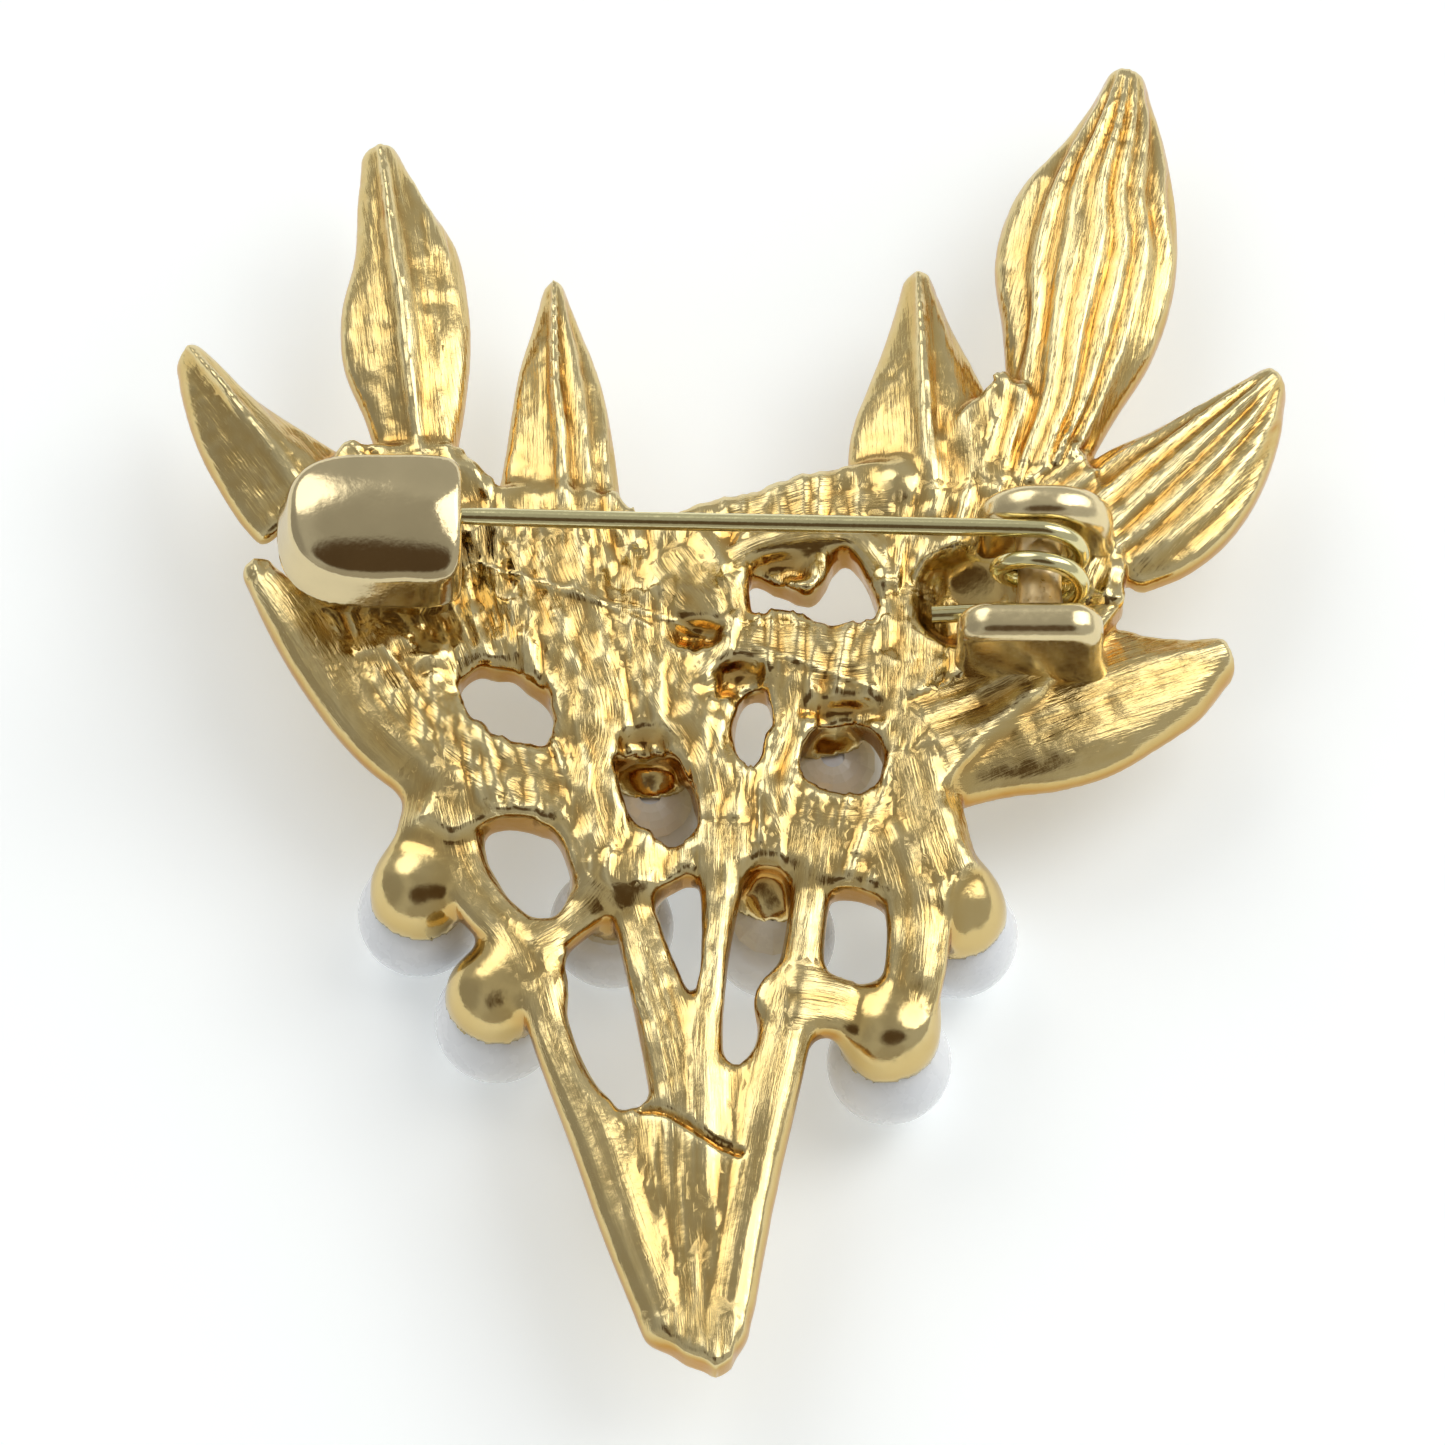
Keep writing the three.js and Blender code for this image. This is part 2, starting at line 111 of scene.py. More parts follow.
def leafField(leaf, x, y, z):
    along, side, t, wide, length = leafPlace(leaf, x, y)
    u = np.clip(np.abs(side) / wide, 0, 1.3)
    ends = np.maximum(along - length, -along)
    plan = roundMax(np.abs(side) - wide, ends, 0.55)
    middle = leaf["base"][2] + (leaf["tip"][2] - leaf["base"][2]) * t**1.4
    middle = middle + leaf["arch"] * 4 * t * (1 - t) - leaf["thick"] / 2
    middle = middle + leaf["ridge"] * np.sin(np.pi * (0.12 + 0.8 * t)) * (0.5 - u) - leaf["curl"] * u**3
    half = leaf["thick"] / 2 * (1 - 0.2 * u**2)
    return roundMax(plan, np.abs(z - middle) - half, 0.42)


def strandPlace(strand, x, y):
    # nearest place on the strand's path: share of its length and signed distance beside it
    path = curveAt(strand["path"], np.linspace(0, 1, 25))
    x, y = np.broadcast_arrays(x, y)
    best = np.full(np.shape(x), 1e9)
    share = np.zeros(np.shape(x))
    beside = np.zeros(np.shape(x))
    for n in range(24):
        a, b = path[n, :2], path[n + 1, :2]
        ab = b - a
        s = np.clip(((x - a[0]) * ab[0] + (y - a[1]) * ab[1]) / (ab @ ab), 0, 1)
        dx, dy = x - a[0] - s * ab[0], y - a[1] - s * ab[1]
        d = np.hypot(dx, dy)
        near = d < best
        best = np.where(near, d, best)
        share = np.where(near, (n + s) / 24, share)
        beside = np.where(near, np.sign(ab[0] * dy - ab[1] * dx) * d, beside)
    return share, beside


def strandField(strand, x, y, z):
    share, beside = strandPlace(strand, x, y)
    wide = np.maximum(curveAt(strand["wide"], share), 0.2) / 2
    high = curveAt(strand["high"], share) / 2
    top = curveAt([p[2] for p in strand["path"]], share)
    power = strand.get("power", 2.4)
    r = (np.abs(beside / wide) ** power + np.abs((z - top + high) / high) ** power) ** (1 / power)
    return (r - 1) * np.minimum(wide, high)


def rounded(points):
    # a closed outline with its corners drawn round
    p = np.array(points, float)
    a, c, d = np.roll(p, 1, 0), np.roll(p, -1, 0), np.roll(p, -2, 0)
    square, cube = 2 * a - 5 * p + 4 * c - d, 3 * p - a - 3 * c + d
    steps = [0.5 * (2 * p + (c - a) * f + square * f**2 + cube * f**3) for f in (0, 0.25, 0.5, 0.75)]
    return np.stack(steps, 1).reshape(-1, 2)


def outlineField(points, x, y):
    # signed distance to a closed outline
    p = np.array(points, float)
    x, y = np.broadcast_arrays(x, y)
    best = np.full(np.shape(x), 1e9)
    inside = np.zeros(np.shape(x), bool)
    for a, b in zip(p, np.roll(p, -1, 0)):
        ab = b - a
        s = np.clip(((x - a[0]) * ab[0] + (y - a[1]) * ab[1]) / (ab @ ab), 0, 1)
        best = np.minimum(best, np.hypot(x - a[0] - s * ab[0], y - a[1] - s * ab[1]))
        cross = (a[1] > y) != (b[1] > y)
        slope = (b[0] - a[0]) * (y - a[1]) / np.where(b[1] == a[1], 1e-9, b[1] - a[1]) + a[0]
        inside ^= cross & (x < slope)
    return np.where(inside, -best, best)


def holeField(hole, x, y):
    if "outline" in hole:
        return outlineField(rounded(hole["outline"]), x, y)
    c, s = math.cos(hole["turn"]), math.sin(hole["turn"])
    dx, dy = x - hole["at"][0], y - hole["at"][1]
    a, b = (dx * c + dy * s) / hole["size"][0], (dy * c - dx * s) / hole["size"][1]
    return (np.hypot(a, b) - 1) * min(hole["size"])


class Grid:
    def __init__(self, low, high, step):
        self.low, self.step = np.array(low, float), step
        counts = np.ceil((np.array(high) - self.low) / step).astype(int) + 1
        self.axes = [self.low[a] + step * np.arange(counts[a]) for a in range(3)]
        self.field = np.full(counts, 9.0, np.float32)

    def ends(self):
        return self.low, [a[-1] for a in self.axes]

    def part(self, low, high):
        # the slices and coordinates of the cells in a box
        cut = []
        for a in range(3):
            i = max(0, int((low[a] - self.low[a]) / self.step))
            j = min(len(self.axes[a]), int((high[a] - self.low[a]) / self.step) + 2)
            cut.append(slice(i, j))
        x, y, z = (self.axes[a][cut[a]] for a in range(3))
        return tuple(cut), x[:, None, None], y[None, :, None], z[None, None, :]

    def join(self, field, low, high, k):
        cut, x, y, z = self.part(low, high)
        self.field[cut] = smoothMin(self.field[cut], field(x, y, z), k)

    def cut(self, field, low, high, k):
        cut, x, y, z = self.part(low, high)
        self.field[cut] = smoothMax(self.field[cut], -field(x, y, z), k)


def netOf(grid):
    # one vertex in each cell that the surface crosses, one quad on each crossed grid edge
    f = grid.field
    inside = f < 0
    nx, ny, nz = f.shape
    total = np.zeros((nx - 1, ny - 1, nz - 1), np.int8)
    corners = [(a, b, c) for a in (0, 1) for b in (0, 1) for c in (0, 1)]
    for a, b, c in corners:
        total += inside[a : nx - 1 + a, b : ny - 1 + b, c : nz - 1 + c]
    crossed = (total > 0) & (total < 8)
    cells = np.argwhere(crossed)
    number = np.full(crossed.shape, -1, np.int64)
    number[crossed] = np.arange(len(cells))
    place, count = np.zeros((len(cells), 3)), np.zeros(len(cells))
    for n, p in enumerate(corners):
        for q in corners[n + 1 :]:
            if sum(abs(i - j) for i, j in zip(p, q)) != 1:
                continue
            fp = f[tuple((cells + p).T)].astype(float)
            fq = f[tuple((cells + q).T)].astype(float)
            on = (fp < 0) != (fq < 0)
            s = np.where(on, fp / np.where(on, fp - fq, 1), 0)
            place += np.where(on[:, None], np.array(p) + s[:, None] * (np.array(q) - p), 0)
            count += on
    points = grid.low + grid.step * (cells + place / count[:, None])
    quads = []
    for axis in range(3):
        one = np.roll([1, 0, 0], axis)
        a, b = np.roll([0, 1, 0], axis), np.roll([0, 0, 1], axis)
        cut = tuple(slice(1, -1) if n != axis else slice(0, -1) for n in range(3))
        ahead = tuple(slice(1, -1) if n != axis else slice(1, None) for n in range(3))
        change = inside[cut] != inside[ahead]
        at = np.argwhere(change) + (1 - one)
        out = inside[tuple(at.T)]
        ring = [number[tuple((at - d).T)] for d in (a + b, b, 0 * a, a)]
        quad = np.stack(ring, 1)
        quad[~out] = quad[~out][:, ::-1]
        quads.append(quad)
    return points, np.concatenate(quads)


def sideCounts(quads, n):
    pairs = np.concatenate([quads[:, [i, (i + 1) % 4]] for i in range(4)])
    degree = np.bincount(pairs.ravel(), minlength=n)
    return pairs, degree


def relaxed(values, quads, rounds, strength=0.5):
    # moves each vertex's values towards its neighbours' mean
    n = len(values)
    pairs, degree = sideCounts(quads, n)
    v = values.copy()
    flat = v.reshape(n, -1)
    for _ in range(rounds):
        mean = np.zeros_like(flat)
        for c in range(flat.shape[1]):
            mean[:, c] = np.bincount(pairs[:, 0], flat[pairs[:, 1], c], n)
            mean[:, c] += np.bincount(pairs[:, 1], flat[pairs[:, 0], c], n)
        flat += strength * (mean / degree[:, None] - flat)
    return flat.reshape(values.shape)


def normalsOf(points, quads):
    p = points[quads]
    n = np.cross(p[:, 2] - p[:, 0], p[:, 3] - p[:, 1])
    total = np.zeros_like(points)
    for i in range(4):
        for c in range(3):
            total[:, c] += np.bincount(quads[:, i], n[:, c], len(points))
    return total / np.maximum(np.linalg.norm(total, axis=1, keepdims=True), 1e-12)


def meshObject(name, points, faces, material, smooth=True):
    mesh = bpy.data.meshes.new(name)
    mesh.from_pydata(((np.asarray(points) + shift) * mm).tolist(), [], [list(map(int, f)) for f in faces])
    mesh.validate()
    mesh.polygons.foreach_set("use_smooth", [smooth] * len(mesh.polygons))
    mesh.materials.append(material)
    obj = bpy.data.objects.new(name, mesh)
    scene.collection.objects.link(obj)
    return obj


def thinned(obj, most):
    # fewer triangles where the surface is calm
    count = sum(len(face.vertices) - 2 for face in obj.data.polygons)
    if count > most:
        thin = obj.modifiers.new("thin", "DECIMATE")
        thin.ratio = most / count
        thin.use_collapse_triangulate = True
        scene.view_layers[0].update()
        graph = bpy.context.evaluated_depsgraph_get()
        source = obj.evaluated_get(graph)
        mesh = bpy.data.meshes.new_from_object(source, preserve_all_data_layers=True, depsgraph=graph)
        obj.modifiers.clear()
        full, obj.data = obj.data, mesh
        name = full.name
        bpy.data.meshes.remove(full)
        mesh.name = name
        count = len(mesh.polygons)
    return count


def setAttribute(obj, name, values):
    layer = obj.data.attributes.new(name, "FLOAT", "POINT")
    layer.data.foreach_set("value", np.asarray(values, np.float32))


def setFlow(obj, flow):
    # a UV map in mm: along the grain, and across it
    layer = obj.data.uv_layers.new(name="flow")
    corners = np.zeros(len(obj.data.loops), np.int32)
    obj.data.loops.foreach_get("vertex_index", corners)
    layer.data.foreach_set("uv", np.asarray(flow, np.float32)[corners].ravel())


# the casting: leaves, openwork back, stems and cups

leaves = {
    "farLeft": {
        "base": [-19.3, 9.9, 8.0], "tip": [-25.3, 18.8, 6.6], "bow": 0.0,
        "left": [2.9, 3.0, 2.85, 2.6, 2.15, 1.5, 0.75], "right": [3.0, 2.8, 2.2, 1.6, 1.1, 0.9, 0.7],
        "calmSide": 1, "crest": 0.12, "thick": 1.3, "ridge": 1.0, "arch": 0.3, "curl": 0.5,
        "grooves": 3.5, "depth": 0.16,
    },
    "topLeft": {
        "base": [-14.3, 12.2, 8.0], "tip": [-16.35, 29.3, 6.5], "bow": 0.0,
        "left": [1.9, 2.3, 2.97, 2.77, 1.83, 1.35, 0.85], "right": [1.7, 2.4, 3.0, 3.2, 2.97, 1.75, 0.85],
        "calmSide": 1, "crest": 0.16, "thick": 1.4, "ridge": 0.8, "arch": 0.3, "curl": 0.4,
        "grooves": 4.0, "depth": 0.15,
    },
    "smallLeft": {
        "base": [-7.8, 9.1, 8.0], "tip": [-8.15, 22.3, 6.5], "bow": 0.0,
        "left": [2.8, 2.75, 2.4, 2.07, 1.65, 1.0, 0.5], "right": [2.9, 2.8, 2.6, 2.3, 1.8, 1.1, 0.5],
        "calmSide": 1, "crest": 0.14, "thick": 1.4, "ridge": 0.6, "arch": 0.2, "curl": 0.4,
        "grooves": 5.5, "depth": 0.15,
    },
    "smallRight": {
        "base": [9.4, 10.6, 8.1], "tip": [8.9, 22.8, 6.4], "bow": 0.0,
        "left": [3.5, 3.7, 3.4, 2.65, 1.87, 1.2, 0.7], "right": [3.5, 3.6, 3.4, 2.75, 1.95, 1.2, 0.7],
        "calmSide": 1, "crest": 0.15, "thick": 1.4, "ridge": 0.9, "arch": 0.2, "curl": 0.5,
        "grooves": 4.5, "depth": 0.14,
    },
    "topRight": {
        "base": [14.7, 11.5, 8.0], "tip": [18.8, 33.3, 6.3], "bow": 0.0,
        "left": [2.6, 2.45, 3.25, 4.3, 3.95, 2.1, 0.95], "right": [1.6, 2.55, 3.8, 4.2, 3.7, 2.5, 0.95],
        "calmSide": 0, "crest": 0.05, "thick": 1.7, "ridge": 0.7, "arch": 0.5, "curl": 0.7,
        "grooves": 7.5, "depth": 0.24,
    },
    "sideRight": {
        "base": [16.9, 8.1, 8.0], "tip": [25.7, 17.6, 6.5], "bow": 0.0,
        "left": [3.6, 3.2, 2.9, 2.2, 1.65, 1.15, 0.75], "right": [3.1, 3.95, 4.25, 4.0, 3.3, 2.2, 0.8],
        "even": 1, "thick": 1.7, "ridge": 0.4, "arch": 0.3, "curl": 0.6, "grooves": 5.5, "depth": 0.2,
    },
    "lowRight": {
        "base": [9.4, -2.8, 7.9], "tip": [23.4, 3.4, 6.6], "bow": 0.0,
        "left": [2.4, 2.6, 2.9, 3.2, 3.4, 1.8, 0.9], "right": [2.4, 2.7, 3.35, 3.55, 3.1, 2.4, 1.0],
        "thick": 1.5, "ridge": 0.4, "arch": 0.2, "curl": 0.7, "grooves": 3.5, "depth": 0.12,
    },
}

strands = {
    "rimLeft": {
        "path": [[-12.9, -4.6, 7.9], [-15.2, -3.0, 8.1], [-17.0, -0.9, 8.2], [-18.9, 2.0, 8.3],
            [-20.4, 4.6, 8.3], [-21.8, 6.7, 8.0]],
        "wide": [1.6, 2.2, 2.6, 2.7, 2.5, 1.6], "high": [1.9, 2.0, 2.2, 2.3, 2.2, 1.6], "polish": 0.9,
    },
    "bandLeft": {
        "path": [[-16.8, 4.5, 7.8], [-14.4, -0.4, 8.3], [-10.8, -3.6, 8.5], [-7.0, -5.4, 8.5], [-5.6, -8.0, 8.3]],
        "wide": [3.0, 3.4, 3.4, 3.2, 2.8], "high": [1.6, 1.9, 2.0, 2.0, 1.9], "power": 3.4, "rise": 0.12,
    },
    "ribLeft": {
        "path": [[-9.0, 9.0, 8.3], [-7.2, 3.6, 8.6], [-5.8, -1.0, 8.6], [-6.3, -5.0, 8.5], [-5.4, -8.6, 8.2]],
        "wide": [4.4, 4.0, 3.2, 2.6, 2.6], "high": [1.8, 2.1, 2.1, 2.0, 1.8], "power": 3.4, "rise": 0.12,
    },
    "ribMiddle": {
        "path": [[-3.7, 8.0, 8.3], [-3.9, 4.0, 8.6], [-3.0, 0.4, 8.7], [-0.9, -3.2, 8.6], [-0.2, -7.5, 8.3]],
        "wide": [3.0, 3.0, 3.0, 2.3, 2.8], "high": [1.8, 2.0, 2.2, 2.1, 1.9], "power": 3.4, "rise": 0.12,
    },
    "archMiddle": {
        "path": [[-1.6, 8.3, 8.4], [0.0, 5.2, 8.6], [0.2, 2.4, 8.6], [-1.4, 0.2, 8.5]],
        "wide": [2.4, 1.9, 1.9, 2.0], "high": [1.8, 2.0, 2.0, 1.9], "power": 3.4, "rise": 0.12,
    },
    "crossRib": {
        "path": [[0.0, 2.2, 8.4], [3.2, 2.0, 8.7], [6.6, 2.0, 8.6], [9.4, 2.6, 8.2]],
        "wide": [2.6, 3.2, 3.2, 3.2], "high": [1.8, 2.0, 2.0, 1.8], "power": 3.4, "rise": 0.12,
    },
    "topBridge": {
        "path": [[-0.6, 9.0, 8.2], [2.4, 9.6, 8.3], [5.4, 10.4, 8.3], [8.2, 10.6, 8.3]],
        "wide": [2.2, 2.5, 2.8, 3.4], "high": [1.7, 1.8, 1.8, 1.8], "power": 3.4, "rise": 0.12,
    },
    "ribInner": {
        "path": [[2.8, 1.6, 8.3], [3.0, -1.4, 8.3], [2.4, -4.6, 8.5], [3.4, -7.4, 8.4]],
        "wide": [1.6, 1.4, 2.3, 2.8], "high": [1.8, 1.8, 1.9, 1.9], "power": 3.4, "rise": 0.12,
    },
    "ribRight": {
        "path": [[8.6, 6.0, 8.1], [8.6, 1.0, 8.4], [8.3, -3.6, 8.4], [7.4, -7.4, 8.2]],
        "wide": [3.2, 3.6, 3.0, 3.4], "high": [1.6, 1.9, 1.9, 1.9], "power": 3.4, "rise": 0.12,
    },
    "footRight": {
        "path": [[2.8, -6.4, 8.4], [5.4, -7.0, 8.5], [8.2, -6.6, 8.2]],
        "wide": [2.6, 3.0, 3.0], "high": [1.9, 2.0, 1.9], "power": 3.4, "rise": 0.12,
    },
    "stemLeftOuter": {
        "path": [[-9.0, -12.8, 7.8], [-8.0, -17.2, 8.0], [-6.2, -21.8, 8.1], [-4.6, -26.5, 8.1], [-3.0, -31.2, 7.7]],
        "wide": [2.3, 1.9, 2.3, 2.4, 2.0], "high": [2.0, 1.9, 2.1, 2.1, 1.8], "polish": 0.9,
    },
    "stemLeftInner": {
        "path": [[-4.6, -9.6, 8.0], [-3.8, -12.6, 8.1], [-2.7, -16.5, 8.3], [-2.0, -20.5, 8.2],
            [-1.9, -24.5, 8.0], [-1.6, -28.5, 7.6]],
        "wide": [1.9, 2.2, 2.9, 3.0, 2.6, 1.6], "high": [2.2, 2.1, 2.1, 2.0, 1.8, 1.4], "power": 3.2,
    },
    "stemMiddle": {
        "path": [[-0.2, -6.2, 8.2], [-0.3, -9.4, 8.5], [-0.6, -13.2, 8.3], [-1.0, -17.0, 8.2],
            [-0.9, -21.0, 8.1], [-0.9, -26.0, 7.7]],
        "wide": [3.0, 2.0, 1.25, 1.5, 1.7, 1.2], "high": [2.0, 2.0, 1.9, 1.9, 1.7, 1.3],
    },
    "stemRight": {
        "path": [[4.3, -6.2, 8.0], [3.8, -10.1, 8.3], [3.3, -13.8, 8.2], [2.3, -18.4, 8.3],
            [1.1, -24.5, 8.1], [0.0, -31.4, 7.7]],
        "wide": [3.4, 1.9, 2.1, 2.5, 2.3, 1.9], "high": [2.0, 2.0, 2.1, 2.1, 2.1, 1.8], "polish": 0.4,
    },
    "linkNeck": {
        "path": [[-13.4, -3.4, 7.6], [-13.9, -6.0, 7.8], [-14.2, -7.6, 7.0]],
        "wide": [2.6, 2.8, 2.8], "high": [2.0, 2.2, 1.9], "polish": 0.7,
    },
    "linkLeft": {
        "path": [[-13.0, -4.6, 7.6], [-12.0, -8.8, 7.7], [-10.0, -11.5, 7.8], [-8.9, -14.2, 7.8]],
        "wide": [2.4, 2.5, 2.6, 2.6], "high": [2.0, 2.0, 2.0, 2.0], "power": 3, "polish": 0.6,
    },
    "linkLeftInner": {
        "path": [[-9.4, -12.4, 7.7], [-7.6, -11.2, 7.8], [-5.6, -9.4, 7.9]],
        "wide": [2.6, 1.9, 2.2], "high": [1.9, 1.8, 1.8], "power": 3, "polish": 0.5,
    },
    "linkRight": {
        "path": [[7.6, -6.2, 7.9], [8.7, -10.0, 8.2], [8.8, -12.6, 8.1], [8.2, -15.8, 7.6]],
        "wide": [3.0, 3.0, 2.9, 2.6], "high": [2.0, 2.0, 2.0, 1.9], "power": 3.2, "polish": 0.2,
    },
    "linkKnuckle": {
        "path": [[8.8, -2.6, 7.8], [9.6, -6.2, 8.1], [10.5, -9.2, 7.5]],
        "wide": [3.2, 3.0, 2.4], "high": [2.0, 2.1, 1.9], "polish": 0.7,
    },
    "linkRightInner": {
        "path": [[2.7, -15.2, 8.1], [4.8, -15.2, 8.0], [6.6, -15.6, 7.3]],
        "wide": [2.8, 2.9, 2.6], "high": [2.0, 1.9, 1.8], "power": 3, "polish": 0.6,
    },
    "lip": {
        "path": [[-0.2, 6.6, 8.6], [1.6, 7.5, 8.9], [3.9, 8.0, 9.0], [5.9, 7.8, 8.9], [7.2, 6.0, 8.6]],
        "wide": [1.3, 1.4, 1.4, 1.3, 1.3], "high": [1.6, 1.6, 1.6, 1.6, 1.6], "polish": 0.7,
    },
    "flap": {
        "path": [[-3.0, 7.3, 8.6], [-2.2, 6.0, 9.0], [-1.2, 4.7, 8.9], [-0.4, 3.4, 8.6]],
        "wide": [2.6, 3.2, 2.4, 1.4], "high": [1.6, 1.8, 1.8, 1.6], "rise": 0.1, "power": 3,
    },
}

backs = {
    "left": {
        "outline": [
            [-20.2, 9.4], [-17.9, 13.2], [-12.4, 12.9], [-10.6, 10.6], [-5.1, 10.6], [-4.4, 8.3],
            [-1.7, 8.9], [0.8, 9.8], [0.8, -8.4], [-2.0, -9.0], [-3.6, -10.0], [-6.6, -9.6], [-8.0, -6.3],
            [-11.2, -6.2], [-12.8, -7.0], [-14.4, -6.2], [-13.6, -4.4], [-16.2, -1.6], [-17.6, 1.6], [-19.4, 5.0],
        ],
        "top": 8.35, "thick": 2.1,
    },
    "right": {
        "outline": [
            [0.3, 9.9], [3.6, 10.9], [6.2, 11.9], [9.0, 12.4], [12.9, 17.0], [16.0, 13.6], [18.4, 9.8],
            [18.4, 4.8], [16.0, 1.6], [12.6, -1.6], [9.8, -4.6], [11.6, -8.4], [10.0, -10.4], [8.8, -10.2],
            [7.0, -9.7], [4.8, -9.6], [3.4, -8.5], [1.2, -8.5], [0.3, -8.4],
        ],
        "top": 8.35, "thick": 2.1,
    },
    "wedge": {
        "outline": [
            [-7.2, -18.9], [-5.0, -20.6], [-3.6, -20.4], [-2.2, -19.4], [-0.6, -18.4], [0.6, -18.4], [2.9, -17.4],
            [2.1, -22.5], [1.3, -27.0], [0.7, -31.4], [0.2, -33.0], [-0.6, -33.6], [-2.0, -32.8],
            [-3.3, -31.7], [-4.6, -27.5], [-6.2, -22.5],
        ],
        "top": 7.85, "thick": 2.0, "calm": 0.35,
    },
}

holes = {
    "eye": {"at": [-10.2, -0.4], "size": [2.55, 1.6], "turn": -0.62, "soft": 0.5},
    "window": {
        "outline": [[1.1, 6.1], [2.3, 5.9], [3.4, 5.3], [4.0, 5.3], [4.6, 6.0], [5.1, 7.2], [5.8, 7.3], [6.5, 6.0],
                    [7.0, 4.2], [5.8, 3.7], [4.6, 3.7], [3.4, 4.15], [2.5, 4.5], [1.2, 4.35]],
        "soft": 0.4,
    },
    "slit": {
        "outline": [[0.7, 0.2], [1.9, 0.3], [2.0, -1.2], [1.8, -2.4], [1.2, -3.6], [0.6, -3.0], [0.3, -1.4]],
        "soft": 0.35,
    },
    "ring": {"at": [5.3, -3.1], "size": [2.0, 1.95], "turn": 0.2, "soft": 0.4},
    "lens": {
        "outline": [[-5.2, -3.1], [-2.6, -3.0], [-1.8, -4.2], [-1.4, -5.8], [-1.9, -7.4],
            [-3.4, -7.2], [-4.4, -6.0], [-5.0, -4.6]],
        "soft": 0.4,
    },
    "drop": {
        "outline": [[-10.9, -6.5], [-9.4, -6.2], [-8.0, -7.2], [-7.6, -9.0],
            [-7.9, -10.6], [-9.2, -10.6], [-10.6, -8.8]],
        "soft": 0.4,
    },
}

hollows = {
    "dent": {"at": [-1.5, 3.0, 9.1], "size": [1.4, 0.8, 1.3]},
    "pocket": {"at": [11.2, 5.0, 9.0], "size": [2.9, 2.5, 2.0]},
    "lipCave": {"at": [2.5, 6.3, 9.0], "size": [1.6, 0.8, 1.2]},
    "slitCave": {"at": [0.6, 0.6, 9.3], "size": [1.5, 1.2, 1.7]},
    "ringCave": {"at": [5.3, -0.9, 9.3], "size": [2.2, 0.85, 1.7]},
    "lensCave": {"at": [-3.9, -2.6, 9.3], "size": [1.5, 0.9, 1.5]},
    "eyeCave": {"at": [-10.9, 1.2, 9.4], "size": [2.0, 0.9, 1.3]},
}

# smooth swellings: place, radius
bosses = {
    "overThird": [-4.7, -9.0, 7.0, 1.45],
    "byWeb": [8.0, 10.9, 7.75, 1.0],
    "nearFifth": [8.3, -7.6, 7.2, 1.3],
    "nugget": [-13.6, 2.1, 8.05, 0.6],
}

# thin raised flash lines and the cold shut in the wedge
scratches = {
    "longFlash": {"path": [[-12.0, 6.9], [-7.0, 4.9], [-3.6, 4.0], [0.4, 2.9]], "wide": 0.11, "rise": 0.11},
    "shortFlash": {"path": [[-9.8, 6.1], [-6.5, 4.9], [-3.4, 3.2]], "wide": 0.11, "rise": 0.09},
    "farFlash": {"path": [[1.0, 2.4], [3.8, 1.4], [7.0, 0.2]], "wide": 0.11, "rise": 0.10},
    "coldShut": {"path": [[-4.2, -20.6], [-2.6, -21.1], [-0.9, -22.3], [0.8, -23.1]], "wide": 0.17, "rise": -0.3},
}

# each pearl's place, how far its cup leans off it, and the cup's radius
pearls = [
    [-14.3, -8.7, 0.0, 0.1, 2.42], [-10.7, -14.1, 0.0, 0.2, 2.42],
    [-5.4, -9.3, 0.1, 0.3, 2.25], [2.1, -9.8, 0.0, 1.0, 2.0],
    [10.6, -9.8, 0.0, 0.2, 2.42], [7.5, -16.2, 0.0, 0.3, 2.42],
    [4.9, -2.0, -0.3, 1.4, 1.9], [-3.6, -3.9, 0.0, 1.2, 1.9],
    [-8.0, 7.4, 0.0, 0.0, 2.42], [12.0, 7.0, 0.0, 0.0, 2.42],
]
pearl = {
    "radius": 2.9, "seat": 2.98, "cupHeight": 5.1, "proud": 0.5, "cupFoot": 4.2, "segments": 96, "rings": 60,
}


cast = {
    "low": [-27.4, -35.0, 3.2], "high": [27.6, 35.0, 9.4], "step": 0.165, "quickStep": 0.24,
    "ragged": 0.12, "mostTriangles": 195000, "bendScale": 0.16, "wallShade": 0.75,
    # each layer of the bark: height, waves per mm across and along it, seed
    "bark": [(0.26, 1.0, 0.16, 31), (0.24, 2.1, 0.3, 32), (0.14, 3.4, 0.55, 35)],
}


def lengthOf(dx, dy, dz):
    return np.sqrt(dx**2 + dy**2 + dz**2)


